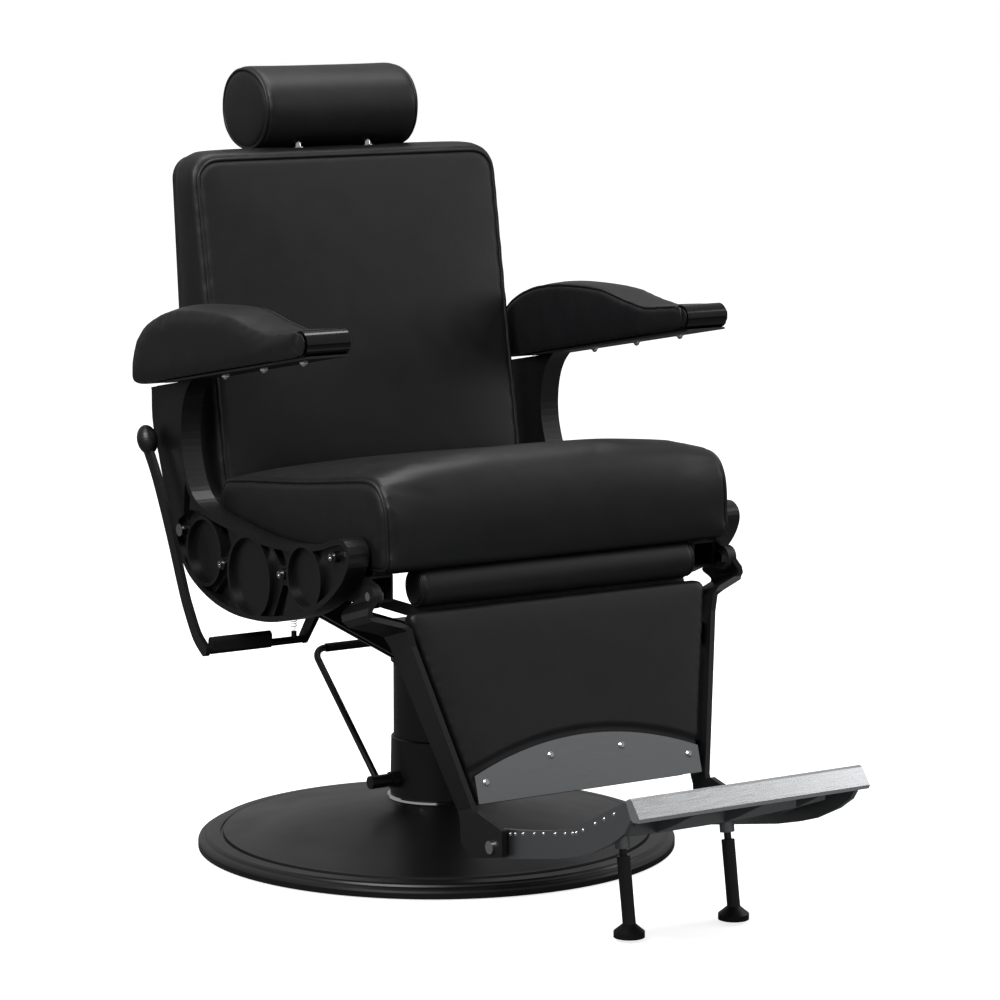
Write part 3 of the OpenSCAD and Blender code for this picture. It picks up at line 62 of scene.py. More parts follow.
MM = 0.001

# %% [markdown]
# The camera stands where the photographer stood. A long lens from almost six metres away keeps the chair's
# edges nearly parallel, so the distance matters more than the lens: it sets how much the footrest grows.

# %% Camera
SENSOR_MM = 36
LENS_MM = 144.4
FARTHEST = 60
turn = math.radians(33.33)
drop = math.radians(8.546)
camera_place = Vector((-3.0694, -4.8359, 1.3669))
look = Vector((math.sin(turn) * math.cos(drop), math.cos(turn) * math.cos(drop), -math.sin(drop)))
camera = bpy.data.objects.new("camera", bpy.data.cameras.new("camera"))
camera.data.sensor_width = SENSOR_MM
camera.data.lens = LENS_MM
camera.data.clip_end = FARTHEST
camera.location = camera_place
camera.rotation_euler = look.to_track_quat("-Z", "Y").to_euler()
bpy.context.scene.collection.objects.link(camera)
bpy.context.scene.camera = camera
print("camera at", tuple(round(v, 3) for v in camera.location))

# %% [markdown]
# A material is a small graph of nodes. One helper adds a node, sets what it is told and links its inputs,
# and another turns the hex colours that paint makers print into the linear values that light works with.
# Patterns are given in real millimetres, and a third helper turns that into the scale of a texture, in
# repeats per metre.

# %% Helpers for materials
def linear(code):
    parts = [int(code[i:i + 2], 16) / 255 for i in (1, 3, 5)]
    return [c / 12.92 if c <= 0.04045 else ((c + 0.055) / 1.055) ** 2.4 for c in parts] + [1.0]


def add_node(tree, kind, inputs=None, **settings):
    made = tree.nodes.new(kind)
    for key, value in settings.items():
        setattr(made, key, value)
    for key, value in (inputs or {}).items():
        if isinstance(value, bpy.types.NodeSocket):
            tree.links.new(value, made.inputs[key])
        else:
            made.inputs[key].default_value = value
    return made


def new_material(name):
    made = bpy.data.materials.new(name)
    made.use_nodes = True
    made.node_tree.nodes.clear()
    return made, made.node_tree


def finish_material(tree, shader):
    add_node(tree, "ShaderNodeOutputMaterial", {"Surface": shader.outputs[0]})


def per_metre(size_mm):
    return 1 / (size_mm * MM)


print("a 2 mm pattern repeats", round(per_metre(2)), "times per metre")


# %% [markdown]
# Leatherette is vinyl pressed with a leather grain while warm. The grain's pebbles are about a millimetre
# and a half across. They are drawn at two and a half millimetres here, so that they still show from across a
# room. The skin is a deep black with a soft sheen that breaks up where the pebbles catch the light.

# %% Black leatherette
GRAIN_MM = 2.5
GRAIN_DEEP_MM = 0.12
CREASE_MM = 38
CREASE_DEEP_MM = 1.5


def make_leatherette():
    made, tree = new_material("black_leatherette")
    place = add_node(tree, "ShaderNodeTexCoord").outputs["Object"]
    pebble = add_node(tree, "ShaderNodeTexVoronoi", {"Vector": place, "Scale": per_metre(GRAIN_MM)},
                      feature="DISTANCE_TO_EDGE")
    pebble_ramp = add_node(tree, "ShaderNodeMapRange", {"Value": pebble.outputs["Distance"], "From Min": 0.0,
                                                        "From Max": 0.22, "To Min": 0.0, "To Max": 1.0})
    crease = add_node(tree, "ShaderNodeTexNoise", {
        "Vector": place, "Scale": per_metre(CREASE_MM), "Detail": 3.0, "Roughness": 0.55})
    tone = add_node(tree, "ShaderNodeMix", {"Factor": crease.outputs["Fac"], "A": linear("#121214"),
                                            "B": linear("#1a1a1c")}, data_type="RGBA")
    gloss = add_node(tree, "ShaderNodeMapRange", {
        "Value": crease.outputs["Fac"], "From Min": 0.3, "From Max": 0.7, "To Min": 0.42, "To Max": 0.5})
    pressed = add_node(tree, "ShaderNodeBump", {"Height": pebble_ramp.outputs["Result"], "Strength": 0.25,
                                                "Distance": GRAIN_DEEP_MM * MM})
    relief = add_node(tree, "ShaderNodeBump", {
        "Height": crease.outputs["Fac"], "Strength": 0.3, "Distance": CREASE_DEEP_MM * MM,
        "Normal": pressed.outputs["Normal"]})
    shader = add_node(tree, "ShaderNodeBsdfPrincipled", {
        "Base Color": tone.outputs["Result"], "Roughness": gloss.outputs["Result"], "IOR": 1.5,
        "Specular IOR Level": 0.35, "Normal": relief.outputs["Normal"]})
    finish_material(tree, shader)
    return made


leatherette = make_leatherette()
print("made", leatherette.name)

# %% [markdown]
# The base, the column and the straps are powder coated steel. The powder melts into a satin skin with a
# faint orange peel, a slow ripple of a few millimetres, which shows only in the highlights.

# %% Powder coated steel
CLOUD_MM = 90
GLOSS_VARIES = 0.04


def make_powder_coat(name, tone_hex, rough, peel_mm, peel_deep):
    made, tree = new_material(name)
    place = add_node(tree, "ShaderNodeTexCoord").outputs["Object"]
    peel = add_node(tree, "ShaderNodeTexNoise", {"Vector": place, "Scale": per_metre(peel_mm), "Detail": 2.0})
    cloud = add_node(tree, "ShaderNodeTexNoise", {"Vector": place, "Scale": per_metre(CLOUD_MM), "Detail": 2.0})
    gloss = add_node(tree, "ShaderNodeMapRange", {
        "Value": cloud.outputs["Fac"], "From Min": 0.3, "From Max": 0.7,
        "To Min": rough - GLOSS_VARIES, "To Max": rough + GLOSS_VARIES})
    ripple = add_node(tree, "ShaderNodeBump", {"Height": peel.outputs["Fac"], "Strength": 0.2,
                                               "Distance": peel_deep * MM})
    shader = add_node(tree, "ShaderNodeBsdfPrincipled", {
        "Base Color": linear(tone_hex), "Roughness": gloss.outputs["Result"], "IOR": 1.5,
        "Specular IOR Level": 0.5, "Normal": ripple.outputs["Normal"]})
    finish_material(tree, shader)
    return made


powder_coat = make_powder_coat("satin_powder_coat", "#121213", rough=0.36, peel_mm=3.0, peel_deep=0.15)
frame_paint = make_powder_coat("dark_frame_paint", "#161618", rough=0.45, peel_mm=4.0, peel_deep=0.2)
cast_paint = make_powder_coat("painted_casting", "#101011", rough=0.34, peel_mm=2.2, peel_deep=0.35)
moulded = make_powder_coat("moulded_abs", "#111112", rough=0.4, peel_mm=1.6, peel_deep=0.1)
gloss_tube = make_powder_coat("gloss_enamel", "#060606", rough=0.16, peel_mm=6.0, peel_deep=0.05)
rubber = make_powder_coat("moulded_rubber", "#0e0e0e", rough=0.6, peel_mm=1.8, peel_deep=0.2)
print("made the paints")

# %% [markdown]
# Metals with no paint reflect the whole studio, so their finish is in how the surface was worked. Chrome
# plate is almost a mirror. Brushed aluminium has scratches that all run one way, which blur its reflections
# across them.

# %% Bare metals
ROUGH_SHARES = (0.8, 1.2)


def make_metal(name, tone_hex, rough, stretch, grain_mm, deep):
    made, tree = new_material(name)
    place = add_node(tree, "ShaderNodeTexCoord").outputs["Object"]
    along = add_node(tree, "ShaderNodeMapping", {"Vector": place, "Scale": stretch})
    grain = add_node(tree, "ShaderNodeTexNoise", {
        "Vector": along.outputs["Vector"], "Scale": per_metre(grain_mm), "Detail": 3.0})
    gloss = add_node(tree, "ShaderNodeMapRange", {
        "Value": grain.outputs["Fac"], "From Min": 0.3, "From Max": 0.7,
        "To Min": rough * ROUGH_SHARES[0], "To Max": rough * ROUGH_SHARES[1]})
    worked = add_node(tree, "ShaderNodeBump", {"Height": grain.outputs["Fac"], "Strength": 0.2,
                                               "Distance": deep * MM})
    shader = add_node(tree, "ShaderNodeBsdfPrincipled", {
        "Base Color": linear(tone_hex), "Metallic": 1.0, "Roughness": gloss.outputs["Result"],
        "Normal": worked.outputs["Normal"]})
    finish_material(tree, shader)
    return made


EVEN = (1, 1, 1)
chrome = make_metal("chrome_plate", "#d8d8da", rough=0.12, stretch=EVEN, grain_mm=8.0, deep=0.02)
zinc = make_metal("zinc_plate", "#a8aaac", rough=0.32, stretch=EVEN, grain_mm=2.0, deep=0.05)
satin_aluminium = make_metal("satin_aluminium", "#8e9092", rough=0.42, stretch=(0.05, 1, 1), grain_mm=1.2,
                             deep=0.06)
bright_aluminium = make_metal("bright_aluminium", "#e2e4e6", rough=0.26, stretch=(0.04, 1, 1), grain_mm=1.6,
                              deep=0.08)
print("made the metals")

# %% [markdown]
# The boards inside the upholstery are birch plywood stained black, so that a bare edge under the skin never
# shows as a pale line. The stain is uneven, because wood takes it up more in the soft rings.

# %% Stained plywood
RING_MM = 60


def make_plywood():
    made, tree = new_material("black_stained_plywood")
    place = add_node(tree, "ShaderNodeTexCoord").outputs["Object"]
    rings = add_node(tree, "ShaderNodeTexWave", {
        "Vector": place, "Scale": per_metre(RING_MM), "Distortion": 6.0, "Detail": 2.0})
    tone = add_node(tree, "ShaderNodeMix", {"Factor": rings.outputs["Fac"], "A": linear("#1b1a18"),
                                            "B": linear("#100f0e")}, data_type="RGBA")
    shader = add_node(tree, "ShaderNodeBsdfPrincipled", {
        "Base Color": tone.outputs["Result"], "Roughness": 0.6})
    finish_material(tree, shader)
    return made


plywood = make_plywood()
print("made", plywood.name)

# %% [markdown]
# The frame's record says which kind of finish each piece has. A table from those kinds to the materials
# above gives all pieces theirs in one loop, which is surer than setting them by hand. Each padded piece has
# its plain block's material only until the cushions below replace it.

# %% Give every piece its finish
FINISHES = {
    "base_rubber": rubber, "ballast_iron": zinc, "satin_black_metal": powder_coat, "cast_black": cast_paint,
    "dark_frame_steel": frame_paint, "chrome_trim": chrome, "zinc_steel": zinc, "spring_steel": zinc,
    "black_rubber": rubber, "plywood": plywood, "black_leatherette": leatherette, "moulded_black": moulded,
    "gloss_black": gloss_tube, "grey_aluminium": satin_aluminium, "bright_aluminium": bright_aluminium,
}
for part in frame["record"]["subparts"]:
    mesh = nodes[part["node"]].data
    mesh.materials.clear()
    mesh.materials.append(FINISHES[part["material_slot"]])

# %% [markdown]
# The cast side frames carry round pockets with a ring round each. The photograph shows their floors as flat
# and bright with a dark crescent along one side, so the floors lie less deep than the slots between the
# rings. The round floors are found by their shape, as flat patches at the deepest level whose edge is a
# circle, and raised.

# %% Raise the round pocket floors
WELD_MM = 0.005
SAME_LEVEL_MM = 0.1
SMALLEST_POCKET_MM = 15
FACING_OUT = 0.99
NEARLY_ROUND = 0.9


def raise_pockets(side, outward, lift_mm):
    source = nodes["side_frame_" + side]
    shape = bmesh.new()
    shape.from_mesh(source.data)
    bmesh.ops.remove_doubles(shape, verts=shape.verts[:], dist=WELD_MM * MM)
    shape.normal_update()
    facing_out = [face for face in shape.faces if face.normal.x * outward > FACING_OUT]
    levels = {face: face.calc_center_median().x * outward for face in facing_out}
    deepest = min(levels.values())
    floor_faces = {face for face in facing_out if levels[face] - deepest < SAME_LEVEL_MM * MM}
    raised = 0
    while floor_faces:
        patch, front = set(), [floor_faces.pop()]
        while front:
            face = front.pop()
            patch.add(face)
            for edge in face.edges:
                for other in edge.link_faces:
                    if other in floor_faces:
                        floor_faces.remove(other)
                        front.append(other)
        verts = {vert for face in patch for vert in face.verts}
        centre = sum((vert.co for vert in verts), Vector()) / len(verts)
        radii = [(vert.co - centre).length for vert in verts]
        if min(radii) > NEARLY_ROUND * max(radii) and max(radii) > SMALLEST_POCKET_MM * MM:
            for vert in verts:
                vert.co.x += outward * lift_mm * MM
            raised += 1
    mesh = bpy.data.meshes.new("side_frame_cast_" + side)
    shape.to_mesh(mesh)
    shape.free()
    mesh.materials.append(cast_paint)
    piece = bpy.data.objects.new("side_frame_cast_" + side, mesh)
    bpy.context.scene.collection.objects.link(piece)
    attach(piece, "seat")
    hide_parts("side_frame_" + side)
    print("side frame", side, "raised", raised, "pocket floors")


raise_pockets("right", -1, lift_mm=9)
raise_pockets("left", 1, lift_mm=9)

# %% [markdown]
# Upholstery is foam in a skin that is cut as flat panels and sewn. Where two panels meet, a cord wrapped in
# the same leatherette, called piping, is sewn between them. The skin can't move at a seam and bulges between
# seams. So each cushion starts as a copy of the frame's plain block, cut into small even faces. Its seam
# lines are found by slicing it with planes, cloth simulation blows the panels up while the seams are held,
# and the piping is laid along the same lines afterwards. A cushion could be sculpted by hand too, but then
# nothing in the file would say why the skin curves as it does.

# %% Copy a plain block into small even faces
RELAX_SHARE = 0.5


def bake(piece):
    graph = bpy.context.evaluated_depsgraph_get()
    made = bpy.data.meshes.new_from_object(piece.evaluated_get(graph))
    piece.modifiers.clear()
    piece.data = made


def foam_copy(name, sources, voxel_mm, rounds):
    shape = bmesh.new()
    for source in sources:
        shape.from_mesh(nodes[source].data)
    mesh = bpy.data.meshes.new(name)
    shape.to_mesh(mesh)
    shape.free()
    piece = bpy.data.objects.new(name, mesh)
    bpy.context.scene.collection.objects.link(piece)
    cells = piece.modifiers.new("cells", "REMESH")
    cells.mode = "VOXEL"
    cells.voxel_size = voxel_mm * MM
    relax = piece.modifiers.new("relax", "SMOOTH")
    relax.factor = RELAX_SHARE
    relax.iterations = rounds
    bake(piece)
    return piece


print("foam copies are relaxed by a share of", RELAX_SHARE)

# %% [markdown]
# A seam is where a plane cuts the skin. Blender's bisect operator gives the edges of the cut, which are then
# walked from end to end and spaced evenly, so that the piping laid on them later has no kinks. Drawing the
# seams by hand would be quicker once, but wouldn't follow the block when its size changes.

# %% Find a seam line
FEWEST_POINTS = 8
TINY = 1e-9


def surface(piece):
    mesh = piece.data
    return BVHTree.FromPolygons([vert.co for vert in mesh.vertices],
                                [face.vertices for face in mesh.polygons])


def extent(piece):
    places = [vert.co for vert in piece.data.vertices]
    return [Vector([pick(place[axis] for place in places) for axis in range(3)]) for pick in (min, max)]


def even_points(points, step):
    ring = points + [points[0]]
    lengths = [0.0]
    for one, two in zip(ring, ring[1:]):
        lengths.append(lengths[-1] + (two - one).length)
    count = max(int(lengths[-1] / step), FEWEST_POINTS)
    made, at = [], 0
    for index in range(count):
        want = lengths[-1] * index / count
        while at < len(lengths) - 2 and lengths[at + 1] < want:
            at += 1
        span = max(lengths[at + 1] - lengths[at], TINY)
        made.append(ring[at].lerp(ring[at + 1], (want - lengths[at]) / span))
    return made


def longest_walk(edges):
    links = {}
    for edge in edges:
        for one, two in (edge.verts, reversed(edge.verts)):
            links.setdefault(one, []).append(two)
    best, seen = [], set()
    for start in links:
        if start in seen:
            continue
        walk = [start]
        seen.add(start)
        while True:
            onward = [vert for vert in links[walk[-1]] if vert not in seen]
            if not onward:
                break
            walk.append(onward[0])
            seen.add(onward[0])
        if len(walk) > len(best):
            best = walk
    return best


def seam_line(piece, place, facing, step_mm=4, passes=4):
    cut = bmesh.new()
    cut.from_mesh(piece.data)
    everything = cut.verts[:] + cut.edges[:] + cut.faces[:]
    found = bmesh.ops.bisect_plane(cut, geom=everything, plane_co=place, plane_no=facing)["geom_cut"]
    walk = longest_walk(edge for edge in found if isinstance(edge, bmesh.types.BMEdge))
    points = even_points([vert.co.copy() for vert in walk], step_mm * MM)
    cut.free()
    for _ in range(passes):
        n = len(points)
        points = [(points[i - 1] + 2 * points[i] + points[(i + 1) % n]) / 4 for i in range(n)]
    return points


print("seam lines have at least", FEWEST_POINTS, "points")

# %% [markdown]
# Cloth simulation with pressure inside blows a panel up as foam does. The skin near a seam is held by a
# vertex group, and so is the side that rests on a board. Foam pushes only so far, so the move of each point
# is then eased towards a cap in millimetres. Last the skin is pulled in a little along the seams, as
# stitching does.

# %% Inflate a cushion and finish its skin
HELD_MM = 9
EASE_MM = 4
RESTS_AT = 0.75
WANDER_PER_METRE = 9.0
GATHERS_PER_METRE = 90.0
GATHER_SHARE = 0.25


def near_line(lines):
    every = [point for line in lines for point in line]
    tree = KDTree(len(every))
    for index, point in enumerate(every):
        tree.insert(point, index)
    tree.balance()
    return tree


def inflate(piece, lines, resting, cap_mm, pressure=4.0, frames=20):
    tree = near_line(lines)
    held = piece.vertex_groups.new(name="held")
    for vert in piece.data.vertices:
        gap = tree.find(vert.co)[2] / MM
        weight = max(min((HELD_MM - gap) / EASE_MM, 1.0), 0.0)
        if resting is not None and vert.normal.dot(resting) > RESTS_AT:
            weight = 1.0
        if weight > 0:
            held.add([vert.index], weight, "REPLACE")
    start = [vert.co.copy() for vert in piece.data.vertices]
    cloth = piece.modifiers.new("cloth", "CLOTH")
    cloth.settings.vertex_group_mass = "held"
    cloth.settings.quality = 3
    cloth.settings.use_pressure = True
    cloth.settings.uniform_pressure_force = pressure
    cloth.settings.effector_weights.gravity = 0
    cloth.collision_settings.use_collision = False
    cloth.point_cache.frame_end = frames
    for frame_number in range(1, frames + 1):
        bpy.context.scene.frame_set(frame_number)
    bake(piece)
    bpy.context.scene.frame_set(1)
    piece.vertex_groups.clear()
    cap = cap_mm * MM
    for vert, before in zip(piece.data.vertices, start):
        move = vert.co - before
        if move.length > TINY:
            vert.co = before + move.normalized() * cap * (1 - math.exp(-move.length / cap))


def finish_skin(piece, lines, depth_mm, reach_mm=11, wander_mm=0.5):
    relax = piece.modifiers.new("relax", "SMOOTH")
    relax.factor = RELAX_SHARE
    relax.iterations = 4
    finer = piece.modifiers.new("finer", "SUBSURF")
    finer.levels = finer.render_levels = 1
    bake(piece)
    tree = near_line(lines)
    reach = reach_mm * MM
    for vert, way in [(vert, vert.normal.copy()) for vert in piece.data.vertices]:
        vert.co += way * wander_mm * MM * noise.noise(vert.co * WANDER_PER_METRE)
        gap = tree.find(vert.co)[2]
        if gap < reach:
            gather = 1 + GATHER_SHARE * noise.noise(vert.co * GATHERS_PER_METRE)
            vert.co -= way * depth_mm * MM * gather * (1 - (gap / reach) ** 2) ** 2
    for face in piece.data.polygons:
        face.use_smooth = True


print("skin is held within", HELD_MM, "mm of a seam")

# %% [markdown]
# Piping is a cord in a strip of the skin. It is built as rings of points along the seam, each ring square to
# the line, and sinks a little into the skin. An open cord tapers where its ends tuck under the cushion.

# %% Lay piping along a seam
CORD_SIDES = 10
CORD_PASSES = 3
TAPER_FROM = 0.3
TAPER_STEP = 0.25


def cord_mesh(name, centres, radius, closed):
    n = len(centres)
    verts, faces = [], []
    across = (centres[1] - centres[0]).orthogonal().normalized()
    for i, centre in enumerate(centres):
        ahead = centres[(i + 1) % n] if closed or i < n - 1 else centres[i]
        behind = centres[i - 1] if closed or i > 0 else centres[i]
        along = (ahead - behind).normalized()
        across = (across - along * across.dot(along)).normalized()
        beside = along.cross(across)
        size = radius * (1 if closed else min(1.0, TAPER_FROM + TAPER_STEP * min(i, n - 1 - i)))
        for k in range(CORD_SIDES):
            angle = 2 * math.pi * k / CORD_SIDES
            verts.append(centre + (across * math.cos(angle) + beside * math.sin(angle)) * size)
    for i in range(n if closed else n - 1):
        one, two = i * CORD_SIDES, ((i + 1) % n) * CORD_SIDES
        for k in range(CORD_SIDES):
            beyond = (k + 1) % CORD_SIDES
            faces.append((one + k, one + beyond, two + beyond, two + k))
    if not closed:
        faces.append(tuple(reversed(range(CORD_SIDES))))
        faces.append(tuple((n - 1) * CORD_SIDES + k for k in range(CORD_SIDES)))
    mesh = bpy.data.meshes.new(name)
    mesh.from_pydata(verts, [], faces)
    for face in mesh.polygons:
        face.use_smooth = True
    return mesh


def lay_piping(name, piece, line, radius_mm, closed=True, lift=0.35):
    radius = radius_mm * MM
    skin = surface(piece)
    centres = []
    for point in line:
        place, facing = skin.find_nearest(point)[:2]
        centres.append(place + facing * radius * lift)
    n = len(centres)
    for _ in range(CORD_PASSES):
        centres = [centres[i] if not closed and i in (0, n - 1)
                   else (centres[i - 1] + 2 * centres[i] + centres[(i + 1) % n]) / 4 for i in range(n)]
    cord = bpy.data.objects.new(name, cord_mesh(name, centres, radius, closed))
    bpy.context.scene.collection.objects.link(cord)
    return cord


def dress(piece, body, *replaced, fill=None):
    piece.data.materials.clear()
    piece.data.materials.append(leatherette)
    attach(piece, body)
    if replaced:
        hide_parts(*replaced)


print("piping has", CORD_SIDES, "sides")

# %% [markdown]
# The seat is a thick box cushion. One panel covers the top and rolls over the front edge, and a flat panel
# closes each side, so the two piped seams follow the cushion's whole side outline. It rests on its board
# underneath.

# %% Seat cushion
started = time.time()
ACROSS = Vector((1, 0, 0))
DOWN = Vector((0, 0, -1))
SIDES = ("right", "left")
SEAT_SEAM_MM = 5
low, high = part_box("seat_cushion")
seat = foam_copy("seat_upholstery", ["seat_cushion"], voxel_mm=7, rounds=6)
seat_seams = [seam_line(seat, ACROSS * side * (high.x - SEAT_SEAM_MM * MM), ACROSS) for side in (-1, 1)]
inflate(seat, seat_seams, DOWN, cap_mm=7)
finish_skin(seat, seat_seams, depth_mm=2.2)
for side, line in zip(SIDES, seat_seams):
    dress(lay_piping("seat_piping_" + side, seat, line, radius_mm=2.8), "seat")
dress(seat, "seat", "seat_cushion", fill=0.9)
print("seat cushion:", len(seat.data.polygons), "faces in", round(time.time() - started), "s")

# %% [markdown]
# The back is a slab that grows thicker towards the sitter's hips. Its front panel is piped all round, and a
# band closes the edge. The seam lies on a plane that leans with the front panel. Two rays sent at the slab
# from the front, one low and one high, say where that panel is and how it leans.

# %% Back cushion
BACKWARD = Vector((0, 1, 0))
RAY_SHARES = (0.3, 0.7)
RAY_SIDE_SHARE = 0.5
RAY_FROM = 1


def front_plane(piece, behind_mm):
    low, high = extent(piece)
    skin = surface(piece)
    edge = []
    for share in RAY_SHARES:
        start = Vector((RAY_SIDE_SHARE * high.x, low.y - RAY_FROM, low.z + share * (high.z - low.z)))
        edge.append(skin.ray_cast(start, BACKWARD)[0])
    facing = ACROSS.cross(edge[1] - edge[0]).normalized()
    if facing.y > 0:
        facing.negate()
    return edge[0] - facing * behind_mm * MM, facing


started = time.time()
back = foam_copy("back_upholstery", ["back_cushion"], voxel_mm=7, rounds=6)
place, facing = front_plane(back, behind_mm=9)
front_seam = seam_line(back, place, facing)
inflate(back, [front_seam], -facing, cap_mm=6)
finish_skin(back, [front_seam], depth_mm=2.2)
dress(lay_piping("back_piping", back, front_seam, radius_mm=2.8), "back")
dress(back, "back", "back_cushion", fill=0.9)
print("back cushion:", len(back.data.polygons), "faces in", round(time.time() - started), "s")

# %% [markdown]
# The headrest and the roll over the calf pad are bolsters: one panel wrapped round the foam, and a round end
# panel piped on at each side. Foam swells past the plain block, so the headrest grows down onto the back,
# and the roll grows up against the seat.

# %% Headrest and calf roll
BOLSTER_CELL_MM = 4
FINE_STEP_MM = 3


def make_bolster(name, source, body, end_mm, cap_mm, piping_mm, deeper, taller, rests):
    low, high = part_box(source)
    middle = (low + high) / 2
    level = low.z + rests * (high.z - low.z)
    piece = foam_copy(name, [source], BOLSTER_CELL_MM, rounds=5)
    for vert in piece.data.vertices:
        vert.co.y = middle.y + (vert.co.y - middle.y) * deeper
        vert.co.z = level + (vert.co.z - level) * taller
    seams = [seam_line(piece, ACROSS * side * (high.x - end_mm * MM), ACROSS, FINE_STEP_MM) for side in (-1, 1)]
    inflate(piece, seams, None, cap_mm)
    finish_skin(piece, seams, depth_mm=1.6, reach_mm=9, wander_mm=0.4)
    for side, line in zip(SIDES, seams):
        dress(lay_piping(name + "_piping_" + side, piece, line, piping_mm), body)
    dress(piece, body, source, fill=0.95)


started = time.time()
make_bolster("headrest_upholstery", "headrest_cushion", "headrest", end_mm=5, cap_mm=4, piping_mm=2.6,
             deeper=1.12, taller=1.07, rests=1)
make_bolster("calf_roll_upholstery", "calf_roll", "legrest", end_mm=4, cap_mm=1.5, piping_mm=1.8,
             deeper=1.12, taller=1.2, rests=0)
print("bolsters in", round(time.time() - started), "s")

# %% [markdown]
# The armrest is one padded form from its tall rear to the square front end that holds the handle. The top is
# a narrow panel between two piped seams. Both seams follow the outline of the sides, but not along the
# underside, where the skin is simply stapled to the steel plate.

# %% Armrests
ARM_SEAM_MM = 4
UNDERSIDE = -0.35


def above_underside(line, skin):
    above = [skin.find_nearest(point)[1].z > UNDERSIDE for point in line]
    first = next(i for i in range(len(line)) if above[i] and not above[i - 1])
    kept = []
    for i in range(len(line)):
        at = (first + i) % len(line)
        if not above[at]:
            break
        kept.append(line[at])
    return kept


def make_armrest(side):
    name = "armrest_" + side
    sources = ["arm_pad_" + side, "arm_end_" + side]
    low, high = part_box("arm_pad_" + side)
    piece = foam_copy(name, sources, voxel_mm=4, rounds=4)
    skin = surface(piece)
    edges = (low.x + ARM_SEAM_MM * MM, high.x - ARM_SEAM_MM * MM)
    seams = [above_underside(seam_line(piece, ACROSS * edge, ACROSS, FINE_STEP_MM), skin) for edge in edges]
    inflate(piece, seams, DOWN, cap_mm=3)
    finish_skin(piece, seams, depth_mm=1.8, reach_mm=9, wander_mm=0.4)
    for number, line in enumerate(seams):
        dress(lay_piping(name + "_piping_%d" % number, piece, line, radius_mm=2.2, closed=False), "seat")
    dress(piece, "seat", *sources, fill=0.9)


started = time.time()
for side in SIDES:
    make_armrest(side)
print("armrests in", round(time.time() - started), "s")

# %% [markdown]
# The calf pad is a thin panel on plywood. Its skin is pulled round the edge of the board, so it has no seam
# in front, only a soft fold where the edge is tightest. The guard plate is screwed on over the foam and
# presses it in.

# %% Calf pad
PRESS_REACH_MM = 14
PRESS_MM = 3.5
started = time.time()
calf = foam_copy("calf_upholstery", ["calf_pad"], voxel_mm=5, rounds=4)
place, facing = front_plane(calf, behind_mm=7)
fold = seam_line(calf, place, facing)
inflate(calf, [fold], -facing, cap_mm=3)
finish_skin(calf, [fold], depth_mm=0.6, reach_mm=8, wander_mm=0.4)
plate = surface(nodes["guard_plate"])
for vert in calf.data.vertices:
    gap = plate.find_nearest(vert.co)[3] / MM
    if gap < PRESS_REACH_MM:
        vert.co -= facing * PRESS_MM * MM * min((1 - gap / PRESS_REACH_MM) * 2, 1.0)
dress(calf, "legrest", "calf_pad", fill=0.85)
print("calf pad in", round(time.time() - started), "s")

# %% [markdown]
# The studio is plain: a pale floor and a white sky. Only the camera sees both at full strength, because the
# light of a white floor would fill every shadow of a black chair. The floor still darkens where the chair
# shades it.

# %% Floor
WHITE = (1, 1, 1, 1)
FLOOR_WHITE = (0.9, 0.9, 0.9, 1)
FLOOR_GREY = (0.13, 0.13, 0.13, 1)
FLOOR_GLOW = 0.8
floor_mesh = bpy.data.meshes.new("floor")
half = 15
corners = [(-half, -half, 0), (half, -half, 0), (half, half, 0), (-half, half, 0)]
floor_mesh.from_pydata(corners, [], [(0, 1, 2, 3)])
floor = bpy.data.objects.new("floor", floor_mesh)
bpy.context.scene.collection.objects.link(floor)
floor_paint, floor_tree = new_material("floor_paint")
seen = add_node(floor_tree, "ShaderNodeLightPath")
tone = add_node(floor_tree, "ShaderNodeMix", {
    "Factor": seen.outputs["Is Camera Ray"], "A": FLOOR_GREY, "B": FLOOR_WHITE}, data_type="RGBA")
matte = add_node(floor_tree, "ShaderNodeBsdfDiffuse", {"Color": tone.outputs["Result"]})
lift = add_node(floor_tree, "ShaderNodeMath", {
    0: seen.outputs["Is Camera Ray"], 1: FLOOR_GLOW}, operation="MULTIPLY")
glow = add_node(floor_tree, "ShaderNodeEmission", {"Color": WHITE, "Strength": lift.outputs[0]})
both = add_node(floor_tree, "ShaderNodeAddShader", {0: matte.outputs[0], 1: glow.outputs[0]})
finish_material(floor_tree, both)
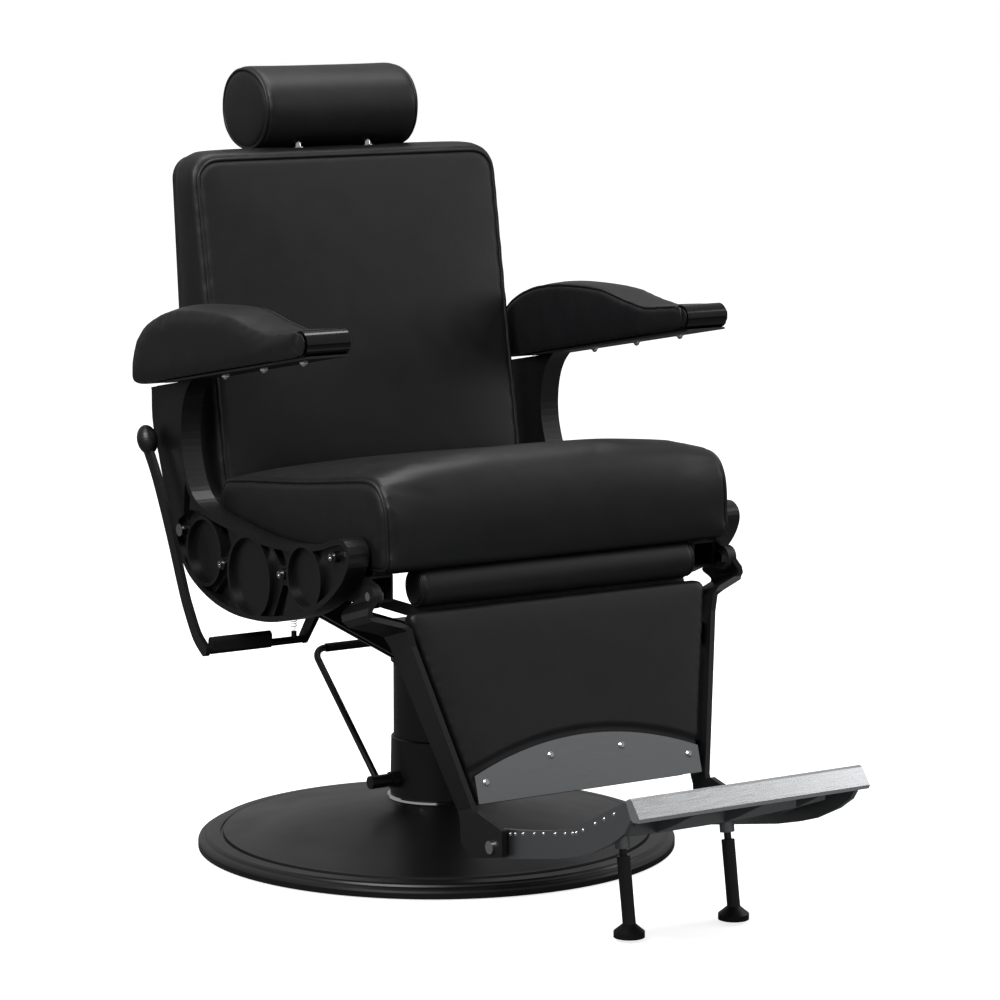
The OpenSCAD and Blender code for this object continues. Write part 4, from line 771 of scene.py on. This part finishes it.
floor_mesh.materials.append(floor_paint)
print("floor", 2 * half, "m across")

# %% [markdown]
# The sky is a plain world. Light from it reaches the chair at a share of the white that the camera sees, so
# that the lamps, and not the sky, draw the forms.

# %% Sky
SKY_LIGHT = 0.36
world = bpy.data.worlds.new("studio")
world.use_nodes = True
bpy.context.scene.world = world
sky = world.node_tree
sky.nodes.clear()
path = add_node(sky, "ShaderNodeLightPath")
direct = add_node(sky, "ShaderNodeMath", {
    0: path.outputs["Is Camera Ray"], 1: path.outputs["Is Transmission Ray"]}, operation="MAXIMUM")
bright = add_node(sky, "ShaderNodeMapRange", {"Value": direct.outputs[0], "To Min": SKY_LIGHT, "To Max": 1.0})
dome = add_node(sky, "ShaderNodeBackground", {"Color": WHITE, "Strength": bright.outputs["Result"]})
add_node(sky, "ShaderNodeOutputWorld", {"Surface": dome.outputs[0]})
print("sky lights the chair at", SKY_LIGHT)

# %% [markdown]
# Black upholstery shows its form only through long soft highlights, so the lamps are big. The key stands
# high on the left, the fill is weak, and the top lamp draws the line along the edges of the seat and the
# arms.

# %% Lamps
def add_lamp(name, place, aim, size, power):
    lamp = bpy.data.lights.new(name, "AREA")
    lamp.shape = "RECTANGLE"
    lamp.size, lamp.size_y = size
    lamp.energy = power
    made = bpy.data.objects.new(name, lamp)
    made.location = place
    made.rotation_euler = (Vector(aim) - Vector(place)).to_track_quat("-Z", "Y").to_euler()
    bpy.context.scene.collection.objects.link(made)


add_lamp("key", (-2.4, -1.3, 3.2), aim=(0, 0, 0.6), size=(1.6, 1.6), power=98)
add_lamp("fill", (2.8, -1.4, 2.0), aim=(0, 0, 0.6), size=(1.4, 2.0), power=20)
add_lamp("top", (0.2, 0.2, 3.3), aim=(0, 0, 0.5), size=(2.0, 2.0), power=60)
print("studio ready")

# %% [markdown]
# Last, the colour view is set to Standard. Foam may pass the frame's box by some millimetres, and metal
# by nothing.

# %% Colour view
bpy.context.scene.view_settings.view_transform = "Standard"
